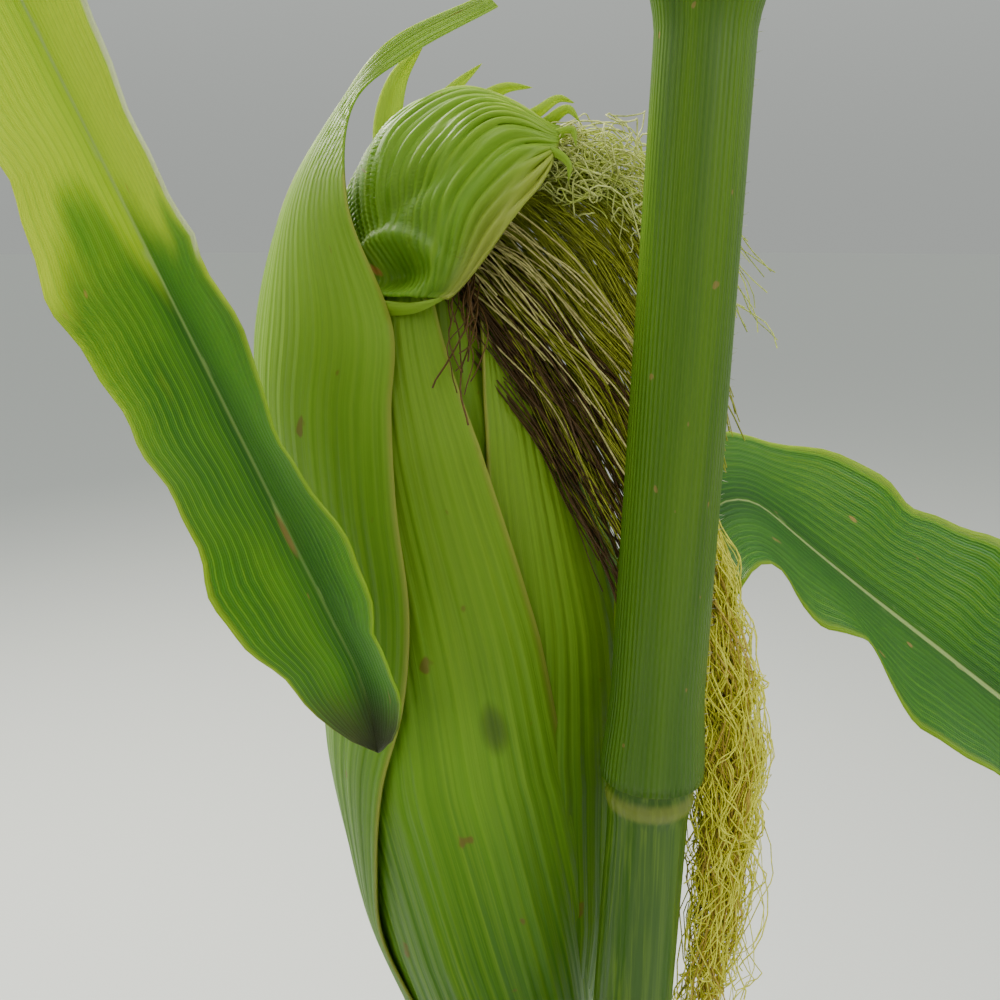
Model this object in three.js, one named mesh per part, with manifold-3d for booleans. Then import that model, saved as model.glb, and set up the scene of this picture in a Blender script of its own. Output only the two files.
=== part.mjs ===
// A whole maize plant, rooted, with one ripening ear in its husks and silk.
// Millimetres, +Z up. The origin is the middle of the flat cut under the stalk, at ground level.
import * as THREE from "three";
import { mergeVertices } from "three/addons/utils/BufferGeometryUtils.js";
import Module from "manifold-3d";

const wasm = await Module();
wasm.setup();

// Stalk: lengths from one leaf node to the next, from the ground up
const INTERNODES = [55, 65, 85, 105, 120, 135, 145, 155, 155, 200, 185, 165, 140];
const STALK_TOP = 1890;
const LEAN = 0.03;
const ZIGZAG = 1.2;
const STALK_TOP_RADIUS = 3.4;
const STALK_TAPER = 9.4;
const STALK_SIDES = 14;
const ROOT_FLARE = 4.5;
const ROOT_FLARE_HEIGHT = 22;
const NODE_BULGE = 1.1;
const NODE_BULGE_LENGTH = 3;

// Brace roots that prop the foot
const BRACE_ROOTS = 9;
const BRACE_ROOT_HEIGHT = 46;
const BRACE_ROOT_REACH = 46;
const BRACE_ROOT_RADIUS = 2.6;
const BRACE_ROOT_SIDES = 6;

// Sheaths round the stalk
const CLEAR = 0.45;
const JOIN_GAP = 0.35;
const SHEATH_THICKNESS = 1.15;
const SHEATH_BULGE = 1.4;
const SHEATH_BULGE_LENGTH = 24;
const COLLAR_FLARE = 2.9;
const COLLAR_LENGTH = 16;
const SHEATH_SLIT = 3;
const SHEATH_SIDES = 14;
const OPEN_SHEATH_SIDES = 11;

// Blades: shares of a blade's length where its wrap, its turn and its growth in width end
const BLADE_THICKNESS = 4.3;
const MARGIN_THICKNESS_SHARE = 0.75;
const TIP_THICKNESS_SHARE = 0.45;
const TIP_WIDTH_SHARE = 0.03;
const WRAP_ENDS = 0.13;
const TURN_ENDS = 0.3;
const WIDEST_AT = 0.42;
const SPINE_STEPS = 96;
const BLADE_ROWS = 10;
const BLADE_COLUMNS = 4;

// The ear stands behind the stalk in the axil of one leaf, and the next leaf hangs beside it
const EAR_LEAF = 7;
const HANGING_LEAF = 8;
const LEAVES_OF_THEIR_OWN = {
  5: { azimuth: 12, turn: -16, launch: 50 },
  6: { azimuth: 208, launch: 50 },
  [EAR_LEAF]: { azimuth: 73, turn: -54, launch: 80, end: -37, bendFrom: 0.084, bendTo: 0.204, length: 660,
    roll: 58, width: 84, wrap: 33, fold: 22, split: 0.36, sheathShare: 0.84 },
  [HANGING_LEAF]: { azimuth: 189, turn: 4, launch: 39, end: -112, bendFrom: 0.35, bendTo: 0.427, length: 509,
    roll: -49, width: 40, wrap: 56, fold: 24, taper: 8, split: 0.37, sheathShare: 0.978 },
};

// Ear: places along its middle, from foot to tip, and its radius at each. These and the places below
// are measured from the stalk's axis at the height where the ear ends.
const EAR_HEIGHT = 1150;
const EAR_MIDDLES = [
  [-33, 31, 905], [-38, 35, 927], [-43, 38, 961], [-49, 42, 1009],
  [-52, 44, 1054], [-59, 46, 1104], [-61, 47, 1138], [-58, 47, 1160],
];
const EAR_RADII = [12, 22, 28, 32.5, 32.5, 29, 21, 9];
const EAR_SIDES = 18;

// Shank between the stalk and the ear
const SHANK_START_RADIUS = 6;
const SHANK_END_RADIUS = 9.4;
const SHANK_SAG = 5;

// Husk leaves lie on the ear in layers, each between angles left and right that change from foot to tip
const HUSK_THICKNESS = 1.6;
const HUSK_GAP = 1.1;
const HUSKS = {
  husk_back: { layer: 0, from: 0.05, to: 0.85, left: [148, 142, 160], right: [252, 262, 225] },
  husk_right: { layer: 0, from: 0.05, to: 0.84, left: [12, 8, 40], right: [140, 134, 95] },
  husk_front: { layer: 1, from: 0.02, to: 0.84, left: [-88, -95, -70], right: [88, 46, 14] },
  husk_left: { layer: 2, from: 0.3, to: 0.83, left: [-78, -112, -100], right: [-60, -20, -26], flare: 15 },
};

// Above the ear the left husk leaf narrows to a neck and ends in a thin strap
const HUSK_STRAP = [
  [[-96, 49, 1163], [-91, 36, 1163], [-77, 28, 1163]],
  [[-81, 48, 1186], [-79, 45, 1187], [-76, 43, 1187]],
  [[-68, 51, 1199], [-66, 50, 1200], [-64, 49, 1201]],
  [[-44, 61, 1212], [-43, 60, 1213], [-42, 59, 1214]],
];

// One husk leaf bends over the ear's tip like a hood, and the silk comes out under it
const HUSK_HOOD = [
  [[-52, 71, 1143], [-80, 62, 1144], [-86, 46, 1145], [-75, 27, 1143], [-55, 19, 1140]],
  [[-50, 69, 1158], [-75, 61, 1162], [-80, 46, 1163], [-69, 31, 1157], [-50, 18, 1146]],
  [[-44, 64, 1172], [-63, 58, 1179], [-68, 46, 1181], [-59, 32, 1172], [-47, 19, 1153]],
  [[-36, 55, 1178], [-47, 52, 1187], [-50, 45, 1190], [-44, 32, 1183], [-40, 23, 1166]],
  [[-27, 43, 1177], [-27, 41, 1180], [-26, 39, 1181], [-26, 36, 1180], [-27, 32, 1175]],
];

// Silk spills from the hood, passes behind the stalk and hangs down on the stalk's right
const SILK_MIDDLES = [
  [-38, 42, 1151], [-25, 43, 1149], [-8, 41, 1133], [2, 35, 1108],
  [4, 24, 1080], [16.5, 9.5, 1045], [19, 6, 1008], [17, 5, 975], [12, 6, 938],
];
const SILK_WIDTHS = [10, 18, 25, 21, 12, 8.5, 9, 7, 3.5];
const SILK_DEPTHS = [7, 7, 7, 6.5, 5, 4.5, 4, 4, 3];
const SILK_SIDES = 10;
const SILK_SPLIT = 0.5;

// Tassel
const TASSEL_LENGTH = 300;
const TASSEL_RADIUS = 5;
const TASSEL_BRANCHES = 11;
const BRANCH_RADIUS = 3.6;
const BRANCH_SPIRAL = 137.5;

const rad = THREE.MathUtils.degToRad;
const clamp01 = (t) => Math.min(Math.max(t, 0), 1);
const smooth = (t) => clamp01(t) ** 2 * (3 - 2 * clamp01(t));
const lerp = THREE.MathUtils.lerp;
const V = (x, y, z) => new THREE.Vector3(x, y, z);

// A value part-way along a row of values.
function rowValue(values, t) {
  const place = clamp01(t) * (values.length - 1);
  const i = Math.min(Math.floor(place), values.length - 2);
  return lerp(values[i], values[i + 1], place - i);
}

// A seeded draw from 0 to 1, the same for the same whole number.
function draw(seed) {
  const s = Math.sin(seed * 127.1 + 11.7) * 43758.5453;
  return s - Math.floor(s);
}

const nodeHeights = INTERNODES.map((_, i) => INTERNODES.slice(0, i + 1).reduce((a, b) => a + b, 0));

function stalkAxis(z) {
  const below = nodeHeights.filter((h) => h <= z).length;
  const low = below ? nodeHeights[below - 1] : 0;
  const high = nodeHeights[below] ?? STALK_TOP;
  const side = (i) => (i <= 0 || i > nodeHeights.length ? 0 : i % 2 ? ZIGZAG : -ZIGZAG);
  const swing = lerp(side(below), side(below + 1), (z - low) / (high - low));
  return V(LEAN * z + swing * 0.5, swing, z);
}

function stalkRadius(z) {
  const taper = STALK_TOP_RADIUS + STALK_TAPER * (1 - (z / STALK_TOP) ** 1.9);
  const flare = ROOT_FLARE * Math.max(0, 1 - z / ROOT_FLARE_HEIGHT) ** 2;
  const bulges = nodeHeights.map((h) => NODE_BULGE * Math.exp(-(((z - h) / NODE_BULGE_LENGTH) ** 2)));
  return bulges.reduce((sum, bulge) => sum + bulge, taper + flare);
}

// Closed solids
function geometryOf(points, faces) {
  const g = new THREE.BufferGeometry();
  g.setAttribute("position", new THREE.Float32BufferAttribute(points.flatMap((p) => [p.x, p.y, p.z]), 3));
  g.setIndex(faces);
  return g;
}

// Rings of points joined into a tube with flat ends.
function loft(rings) {
  const sides = rings[0].length;
  const points = rings.flat();
  const faces = [];
  for (let i = 0; i < rings.length - 1; i++)
    for (let j = 0; j < sides; j++) {
      const a = i * sides + j;
      const b = i * sides + ((j + 1) % sides);
      faces.push(a, b, b + sides, a, b + sides, a + sides);
    }
  for (const [ring, turned] of [[0, true], [rings.length - 1, false]]) {
    const middle = points.length;
    points.push(rings[ring].reduce((sum, p) => sum.add(p), V(0, 0, 0)).multiplyScalar(1 / sides));
    for (let j = 0; j < sides; j++) {
      const a = ring * sides + j;
      const b = ring * sides + ((j + 1) % sides);
      faces.push(...(turned ? [middle, b, a] : [middle, a, b]));
    }
  }
  return geometryOf(points, faces);
}

// A closed sheet: at(u, v) gives its middle surface, thick(u, v) its thickness.
function sheet(rows, columns, at, thick) {
  const step = 1e-3;
  const outer = [];
  const inner = [];
  for (let i = 0; i <= rows; i++)
    for (let j = 0; j <= columns; j++) {
      const u = i / rows;
      const v = j / columns;
      const du = at(Math.min(u + step, 1), v).sub(at(Math.max(u - step, 0), v));
      const dv = at(u, Math.min(v + step, 1)).sub(at(u, Math.max(v - step, 0)));
      const normal = du.cross(dv).normalize().multiplyScalar(thick(u, v) / 2);
      outer.push(at(u, v).add(normal));
      inner.push(at(u, v).sub(normal));
    }
  const points = [...outer, ...inner];
  const faces = [];
  const quad = (a, b, c, d) => faces.push(a, b, c, a, c, d);
  const id = (i, j) => i * (columns + 1) + j;
  const under = outer.length;
  for (let i = 0; i < rows; i++)
    for (let j = 0; j < columns; j++) {
      quad(id(i, j), id(i + 1, j), id(i + 1, j + 1), id(i, j + 1));
      quad(under + id(i, j), under + id(i, j + 1), under + id(i + 1, j + 1), under + id(i + 1, j));
    }
  for (let i = 0; i < rows; i++)
    for (const [j, turned] of [[0, false], [columns, true]]) {
      const side = [id(i, j), under + id(i, j), under + id(i + 1, j), id(i + 1, j)];
      quad(...(turned ? side.reverse() : side));
    }
  for (let j = 0; j < columns; j++)
    for (const [i, turned] of [[0, true], [rows, false]]) {
      const end = [id(i, j), under + id(i, j), under + id(i, j + 1), id(i, j + 1)];
      quad(...(turned ? end.reverse() : end));
    }
  return geometryOf(points, faces);
}

function solidOf(geometry) {
  const merged = mergeVertices(geometry, 1e-3);
  return new wasm.Manifold(new wasm.Mesh({
    numProp: 3,
    vertProperties: merged.attributes.position.array,
    triVerts: new Uint32Array(merged.index.array),
  }));
}

function geometryFrom(solid) {
  const mesh = solid.getMesh();
  const g = new THREE.BufferGeometry();
  g.setAttribute("position", new THREE.BufferAttribute(new Float32Array(mesh.vertProperties), 3));
  g.setIndex(new THREE.BufferAttribute(new Uint32Array(mesh.triVerts), 1));
  return g;
}

const join = (geometries) => geometryFrom(geometries.map(solidOf).reduce((a, b) => a.add(b)));

// A ring round a centre, in the plane of two unit directions.
function ring(centre, radiusA, radiusB, a, b, sides) {
  return Array.from({ length: sides }, (_, j) => {
    const t = (j / sides) * 2 * Math.PI;
    return centre.clone().addScaledVector(a, radiusA * Math.cos(t)).addScaledVector(b, radiusB * Math.sin(t));
  });
}

// Stalk with its nodes, root flare and brace roots
function stalkHeights() {
  const heights = [0, ROOT_FLARE_HEIGHT * 0.4, ROOT_FLARE_HEIGHT];
  for (const h of nodeHeights)
    for (const step of [-2, -0.7, 0.7, 2]) heights.push(h + step * NODE_BULGE_LENGTH);
  return [...heights, STALK_TOP];
}

// A brace root springs from inside the stalk, arches out and stands on the ground.
function braceRoot(k) {
  const heading = ((k + 0.3 * draw(k + 40)) / BRACE_ROOTS) * 2 * Math.PI;
  const out = V(Math.cos(heading), Math.sin(heading), 0);
  const side = V(-Math.sin(heading), Math.cos(heading), 0);
  const slanted = V(0, 0, 1).add(out).normalize();
  const top = BRACE_ROOT_HEIGHT - 10 * draw(k + 60);
  const start = stalkRadius(top) / 2;
  const end = BRACE_ROOT_REACH * (0.8 + 0.4 * draw(k + 80));
  const rings = [0, 0.4, 0.75, 1].map((t) => {
    const reach = lerp(start, end, Math.sin((t * Math.PI) / 2));
    const centre = out.clone().multiplyScalar(reach).setZ(top * (1 - t ** 1.5));
    const r = BRACE_ROOT_RADIUS * (1 - 0.25 * t);
    return ring(centre, r, 1.25 * r, side, t < 1 ? slanted : out, BRACE_ROOT_SIDES);
  });
  return loft(rings);
}

function stalkGeometry() {
  const shaft = loft(stalkHeights().map((z) => {
    const r = stalkRadius(z);
    return ring(stalkAxis(z), r, r, V(1, 0, 0), V(0, 1, 0), STALK_SIDES);
  }));
  const roots = Array.from({ length: BRACE_ROOTS }, (_, k) => braceRoot(k));
  return join([shaft, ...roots]);
}

// Every leaf follows one rule, largest by the ear, and some have angles of their own.
// Angles are in degrees: azimuth round the stalk, launch and end up from level, fold up from the midrib.
function leafShape(k) {
  const share = Math.exp(-(((k - 6.5) / 4) ** 2));
  return {
    azimuth: 60 + 180 * ((k + 1) % 2) + 24 * (draw(k) - 0.5),
    turn: 50 * (draw(k + 20) - 0.5),
    roll: 24 * (draw(k + 30) - 0.5),
    launch: 52 + 1.2 * k,
    end: -74 + 4.4 * k,
    bendFrom: 0.04 + 0.01 * k,
    bendTo: 0.72 + 0.02 * k,
    length: 350 + 400 * share,
    width: 50 + 40 * share,
    wrap: 60,
    fold: 10,
    taper: 2.1,
    split: 0.46,
    sheathShare: 0.955,
    ...LEAVES_OF_THEIR_OWN[k],
  };
}

function sheathSpan(k) {
  const internode = (nodeHeights[k + 1] ?? nodeHeights[k] + INTERNODES[k]) - nodeHeights[k];
  const clearOfNode = 2 * NODE_BULGE_LENGTH;
  return [nodeHeights[k] + clearOfNode, nodeHeights[k] + internode * leafShape(k).sheathShare - clearOfNode];
}

function sheathRadius(z, low, high) {
  const bulge = SHEATH_BULGE * (1 - smooth((z - low) / SHEATH_BULGE_LENGTH));
  const flare = COLLAR_FLARE * smooth((z - high) / COLLAR_LENGTH + 1);
  return stalkRadius(z) + CLEAR + SHEATH_THICKNESS / 2 + bulge + flare;
}

// A sheath's edges nearly meet on the side away from the blade. The ear pushes its own leaf's sheath open.
function sheathEdges(k, u) {
  const { azimuth, wrap } = leafShape(k);
  if (k !== EAR_LEAF) return [azimuth - 180 + SHEATH_SLIT / 2, azimuth + 180 - SHEATH_SLIT / 2];
  return [lerp(azimuth - 150, azimuth - wrap, smooth(u)), lerp(azimuth + 6, azimuth + wrap, smooth(u))];
}

function sheathGeometry(k) {
  const [low, high] = sheathSpan(k);
  const foot = low + SHEATH_BULGE_LENGTH;
  const throat = high - COLLAR_LENGTH;
  const between = k === EAR_LEAF ? [1, 2, 3, 4, 5].map((i) => lerp(foot, throat, i / 6)) : [];
  const heights = [low, (low + foot) / 2, foot, ...between, throat, (throat + high) / 2, high];
  const at = (u, v) => {
    const z = rowValue(heights, u);
    const [from, to] = sheathEdges(k, (z - low) / (high - low));
    const t = rad(lerp(from, to, v));
    const r = sheathRadius(z, low, high);
    return stalkAxis(z).add(V(r * Math.cos(t), r * Math.sin(t), 0));
  };
  const sides = k === EAR_LEAF ? OPEN_SHEATH_SIDES : SHEATH_SIDES;
  return sheet(heights.length - 1, sides, at, () => SHEATH_THICKNESS);
}

// A blade starts round its sheath's collar, clear of it.
function collarOf(k) {
  const [low, high] = sheathSpan(k);
  const radius = sheathRadius(high, low, high) + SHEATH_THICKNESS / 2 + JOIN_GAP + BLADE_THICKNESS / 2;
  return { radius, height: high + JOIN_GAP + 1 };
}

// The blade's midline, with the directions of its side and its upper face.
function spineOf(k) {
  const shape = leafShape(k);
  const collar = collarOf(k);
  const start = rad(shape.azimuth);
  const here = stalkAxis(collar.height);
  here.addScaledVector(V(Math.cos(start), Math.sin(start), 0), collar.radius);
  const frames = [];
  for (let i = 0; i <= SPINE_STEPS; i++) {
    const u = i / SPINE_STEPS;
    const bend = smooth((u - shape.bendFrom) / (shape.bendTo - shape.bendFrom));
    const rise = rad(lerp(shape.launch, shape.end, bend));
    const heading = rad(shape.azimuth + shape.turn * smooth(u / TURN_ENDS));
    const forward = V(Math.cos(rise) * Math.cos(heading), Math.cos(rise) * Math.sin(heading), Math.sin(rise));
    const level = V(-Math.sin(heading), Math.cos(heading), 0);
    const side = level.applyAxisAngle(forward, rad(shape.roll * smooth(u / TURN_ENDS)));
    frames.push({ at: here.clone(), side, up: forward.clone().cross(side) });
    here.addScaledVector(forward, shape.length / SPINE_STEPS);
  }
  return frames;
}

function halfWidth(shape, foot, u) {
  const full = shape.width / 2;
  const narrowing = clamp01((u - WIDEST_AT) / (1 - WIDEST_AT)) ** shape.taper;
  return lerp(foot, full, smooth(u / WIDEST_AT)) * (1 - narrowing * (1 - TIP_WIDTH_SHARE));
}

// A blade wraps the stalk at its collar, and is folded along its midrib further out.
function bladeGeometry(k, from, to) {
  const shape = leafShape(k);
  const frames = spineOf(k);
  const { radius } = collarOf(k);
  const at = (share, v) => {
    const u = lerp(from, to, share);
    const i = Math.min(Math.floor(u * SPINE_STEPS), SPINE_STEPS - 1);
    const mix = (key) => frames[i][key].clone().lerp(frames[i + 1][key], u * SPINE_STEPS - i);
    const across = halfWidth(shape, rad(shape.wrap) * radius, u) * (2 * v - 1);
    const opened = smooth(u / WRAP_ENDS);
    const curl = Math.max(1 - opened, 1e-4) / radius;
    const wrapped = (1 - Math.cos(curl * across)) / curl;
    const folded = Math.tan(rad(shape.fold)) * opened * Math.abs(across);
    const point = mix("at").addScaledVector(mix("side"), Math.sin(curl * across) / curl);
    return point.addScaledVector(mix("up"), wrapped + folded);
  };
  const thick = (share, v) => {
    const towardsTip = lerp(1, TIP_THICKNESS_SHARE, smooth(5 * lerp(from, to, share) - 4));
    const towardsMargin = lerp(1, MARGIN_THICKNESS_SHARE, Math.abs(2 * v - 1));
    return BLADE_THICKNESS * towardsMargin * towardsTip;
  };
  return sheet(BLADE_ROWS, BLADE_COLUMNS, at, thick);
}

// Ear
const EAR_FOOT = stalkAxis(EAR_HEIGHT).setZ(0);
const earPoint = (x, y, z) => EAR_FOOT.clone().add(V(x, y, z));
const EAR_AXIS = new THREE.CatmullRomCurve3(EAR_MIDDLES.map((p) => earPoint(...p)));

// A point round the ear: angle 0 is its front, 90 its right, and out is how far it stands off the ear's body.
function roundEar(u, angle, out) {
  const upwards = EAR_AXIS.getTangent(clamp01(u));
  const right = V(0, 1, 0).cross(upwards).normalize();
  const front = right.clone().cross(upwards).normalize();
  const r = rowValue(EAR_RADII, u) + out;
  const point = EAR_AXIS.getPoint(clamp01(u)).addScaledVector(right, r * Math.sin(rad(angle)));
  return point.addScaledVector(front, r * Math.cos(rad(angle)));
}

function earBody() {
  const rows = 2 * (EAR_RADII.length - 1);
  const rings = Array.from({ length: rows + 1 }, (_, i) =>
    Array.from({ length: EAR_SIDES }, (_, j) => roundEar(i / rows, (j / EAR_SIDES) * 360, 0)));
  return loft(rings);
}

// The shank joins the stalk to the ear's foot.
function earShank() {
  const foot = stalkAxis(nodeHeights[EAR_LEAF] + 8);
  const way = EAR_AXIS.getPoint(0).clone().sub(foot).setZ(0).normalize();
  const side = V(-way.y, way.x, 0);
  const from = foot.clone().addScaledVector(way, stalkRadius(foot.z) + 1);
  const to = EAR_AXIS.getPoint(0).addScaledVector(EAR_AXIS.getTangent(0), -2);
  const tilt = EAR_AXIS.getTangent(0).clone().cross(side).normalize();
  const rings = [0, 0.35, 0.7, 1].map((t) => {
    const centre = from.clone().lerp(to, t);
    centre.z -= SHANK_SAG * Math.sin(t * Math.PI);
    const up = V(0, 0, 1).lerp(tilt, t).normalize();
    const r = lerp(SHANK_START_RADIUS, SHANK_END_RADIUS, t);
    return ring(centre, r, r, side, up, 10);
  });
  return loft(rings);
}

function huskPoint({ layer, from, to, left, right, flare = 0 }, u, v) {
  const out = HUSK_GAP + HUSK_THICKNESS / 2 + layer * (HUSK_THICKNESS + HUSK_GAP);
  const lifted = flare * smooth((u - 0.45) / 0.55) * (1 - v) ** 0.7;
  return roundEar(lerp(from, to, u), lerp(rowValue(left, u), rowValue(right, u), v), out + lifted);
}

const huskGeometry = (husk) => sheet(10, 7, (u, v) => huskPoint(husk, u, v), () => HUSK_THICKNESS);

const placesOf = (net) => net.map((row) => row.map((p) => earPoint(...p)));

// A sheet through rows of places, smooth both ways.
function patch(net, rows, columns) {
  const lines = net.map((row) => new THREE.CatmullRomCurve3(row));
  const at = (u, v) => new THREE.CatmullRomCurve3(lines.map((line) => line.getPoint(v))).getPoint(u);
  return sheet(rows, columns, at, () => HUSK_THICKNESS);
}

function strapGeometry() {
  const rim = [0, 0.5, 1].map((v) => huskPoint(HUSKS.husk_left, 1, v).add(V(0, 0, JOIN_GAP + 0.2)));
  return patch([rim, ...placesOf(HUSK_STRAP)], 12, 4);
}

const SILK_PATH = new THREE.CatmullRomCurve3(SILK_MIDDLES.map((p) => earPoint(...p)));

function silkGeometry(from, to, rows) {
  const rings = Array.from({ length: rows + 1 }, (_, i) => {
    const t = lerp(from, to, i / rows);
    const down = SILK_PATH.getTangent(t);
    const wide = V(0, 1, 0).cross(down).normalize();
    const deep = down.clone().cross(wide);
    const [width, depth] = [rowValue(SILK_WIDTHS, t), rowValue(SILK_DEPTHS, t)];
    return ring(SILK_PATH.getPoint(t), width, depth, wide, deep, SILK_SIDES);
  });
  return loft(rings);
}

// Tassel: a middle spike and side branches that arch outwards
function spikeGeometry(start, way, length, droop, radius, rows) {
  const rings = Array.from({ length: rows + 1 }, (_, i) => {
    const t = i / rows;
    const centre = start.clone().addScaledVector(way, length * t).add(V(0, 0, -droop * t * t));
    const forward = way.clone().multiplyScalar(length).add(V(0, 0, -2 * droop * t)).normalize();
    const side = V(forward.z, 0, -forward.x).normalize();
    const r = radius * Math.min(1, 0.45 + 3 * t) * (1 - 0.65 * t ** 3);
    return ring(centre, r, r, side, forward.clone().cross(side), 6);
  });
  return loft(rings);
}

function tasselBranch(foot, k) {
  const t = k / (TASSEL_BRANCHES - 1);
  const heading = rad(BRANCH_SPIRAL * k);
  const rise = rad(lerp(34, 66, t) + 10 * (draw(k + 300) - 0.5));
  const way = V(Math.cos(rise) * Math.cos(heading), Math.cos(rise) * Math.sin(heading), Math.sin(rise));
  const start = foot.clone().add(V(0, 0, lerp(30, 115, t)));
  const length = lerp(215, 130, t) * (0.88 + 0.24 * draw(k + 320));
  const droop = lerp(52, 18, t);
  return spikeGeometry(start, way, length, droop, BRANCH_RADIUS, 5);
}

function tasselGeometry() {
  const foot = stalkAxis(STALK_TOP).setZ(STALK_TOP + JOIN_GAP);
  const middle = spikeGeometry(foot, V(LEAN, 0, 1).normalize(), TASSEL_LENGTH, 0, TASSEL_RADIUS, 7);
  return join([middle, ...Array.from({ length: TASSEL_BRANCHES }, (_, k) => tasselBranch(foot, k))]);
}

const green = (hex, roughness) => new THREE.MeshStandardMaterial({ color: hex, roughness, metalness: 0 });
const MATERIALS = {
  stalk: green(0x6f9430, 0.45),
  sheath: green(0x7aa03a, 0.5),
  blade: green(0x3f7d1e, 0.5),
  husk: green(0x8fb53c, 0.55),
  silk: green(0x9a8f35, 0.7),
  tassel: green(0xb59b52, 0.8),
};

const plant = new THREE.Group();
function add(name, geometry, material) {
  const mesh = new THREE.Mesh(geometry, material);
  mesh.name = name;
  plant.add(mesh);
}

add("stalk", stalkGeometry(), MATERIALS.stalk);
for (let k = 1; k < nodeHeights.length; k++) {
  const number = String(k).padStart(2, "0");
  add(`leaf_${number}_sheath`, sheathGeometry(k), MATERIALS.sheath);
  const { length, split } = leafShape(k);
  const gap = JOIN_GAP / length;
  add(`leaf_${number}_inner`, bladeGeometry(k, 0, split - gap), MATERIALS.blade);
  add(`leaf_${number}_outer`, bladeGeometry(k, split + gap, 1), MATERIALS.blade);
}
add("ear_shank", earShank(), MATERIALS.husk);
add("ear_body", earBody(), MATERIALS.husk);
for (const [name, husk] of Object.entries(HUSKS)) add(name, huskGeometry(husk), MATERIALS.husk);
add("husk_strap", strapGeometry(), MATERIALS.husk);
add("husk_hood", patch(placesOf(HUSK_HOOD), 10, 10), MATERIALS.husk);
add("silk_crown", silkGeometry(0, SILK_SPLIT - 0.001, 7), MATERIALS.silk);
add("silk_fall", silkGeometry(SILK_SPLIT + 0.001, 1, 7), MATERIALS.silk);
add("tassel", tasselGeometry(), MATERIALS.tassel);

export default plant;
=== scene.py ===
# A whole rooted maize plant: stalk, sheaths, leaf blades, an ear in its husks, silk and tassel.
# The rules of part.mjs are written again here with finer surfaces. Lengths are in millimetres until they
# go into a mesh; the lights, the sizes for Geometry Nodes and the floor are in metres.
import math
from functools import partialmethod
import bpy
import numpy as np
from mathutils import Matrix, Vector


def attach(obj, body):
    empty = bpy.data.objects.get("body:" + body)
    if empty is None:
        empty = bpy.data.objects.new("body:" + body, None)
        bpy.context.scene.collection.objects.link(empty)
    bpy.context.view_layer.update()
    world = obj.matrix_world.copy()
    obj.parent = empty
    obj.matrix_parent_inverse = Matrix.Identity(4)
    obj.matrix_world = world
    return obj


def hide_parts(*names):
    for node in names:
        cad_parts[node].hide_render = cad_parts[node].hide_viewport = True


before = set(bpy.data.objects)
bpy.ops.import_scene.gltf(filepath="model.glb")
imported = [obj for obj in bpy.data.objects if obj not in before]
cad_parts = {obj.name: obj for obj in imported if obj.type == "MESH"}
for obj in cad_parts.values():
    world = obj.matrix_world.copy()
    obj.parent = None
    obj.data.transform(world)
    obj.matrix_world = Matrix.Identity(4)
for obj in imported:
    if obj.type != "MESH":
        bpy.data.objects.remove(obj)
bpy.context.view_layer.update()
millimetre = 0.001
print("frame loaded")

# Camera, lights and sky
cameraPlan = {
    "place": (-6.1, -222.0, 1155.5),
    "tiltDown": 15.0,
    "lens": 36.1,
}
lightPlan = [
    # name, place, aimed at, size, watts, colour
    ("sunBehind", (-1.5, 1.5, 2.9), (0.0, 0.0, 1.1), 0.8, 125.0, (1.0, 0.97, 0.86)),
    ("windowRight", (2.2, -0.4, 2.2), (0.0, 0.0, 1.1), 1.8, 24.0, (0.97, 0.99, 1.0)),
    ("fillFront", (-1.8, -2.6, 2.2), (0.0, 0.0, 1.1), 2.4, 28.0, (1.0, 1.0, 1.0)),
    ("topSoft", (-0.3, -0.3, 3.6), (0.0, 0.0, 1.0), 2.0, 44.0, (1.0, 0.99, 0.95)),
]
skyPlan = {"horizon": (0.40, 0.42, 0.40), "above": (0.56, 0.585, 0.56), "blendTop": 0.42}


def addObject(name, data):
    made = bpy.data.objects.new(name, data)
    bpy.context.scene.collection.objects.link(made)
    return made


def addCamera():
    data = bpy.data.cameras.new("camera")
    data.sensor_width = 36.0
    data.lens = cameraPlan["lens"]
    data.clip_start = 0.01
    camera = addObject("camera", data)
    camera.location = Vector(cameraPlan["place"]) * millimetre
    camera.rotation_euler = (math.radians(90.0 - cameraPlan["tiltDown"]), 0.0, 0.0)
    bpy.context.scene.camera = camera


def addLights():
    for name, place, target, size, watts, colour in lightPlan:
        data = bpy.data.lights.new(name, "AREA")
        data.shape = "DISK"
        data.size = size
        data.energy = watts
        data.color = colour
        lamp = addObject(name, data)
        lamp.location = place
        lamp.rotation_euler = (Vector(target) - Vector(place)).to_track_quat("-Z", "Y").to_euler()


addCamera()
addLights()
print("camera and lights placed")


# Helpers that build node trees
class Nodes:
    # one node tree; a kind of node that is named without its family belongs to the tree's own
    family = "ShaderNode"

    def node(self, kind, sockets=(), output=0, **settings):
        # values that other nodes give are linked, and the rest are set
        made = self.tree.nodes.new(kind if "Node" in kind else self.family + kind)
        for key, value in settings.items():
            setattr(made, key, value)
        for key, value in (sockets.items() if isinstance(sockets, dict) else enumerate(sockets)):
            if isinstance(value, Value):
                self.tree.links.new(value.socket, made.inputs[key])
            else:
                made.inputs[key].default_value = value
        return Value(self, made.outputs[output]) if made.outputs else None


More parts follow.
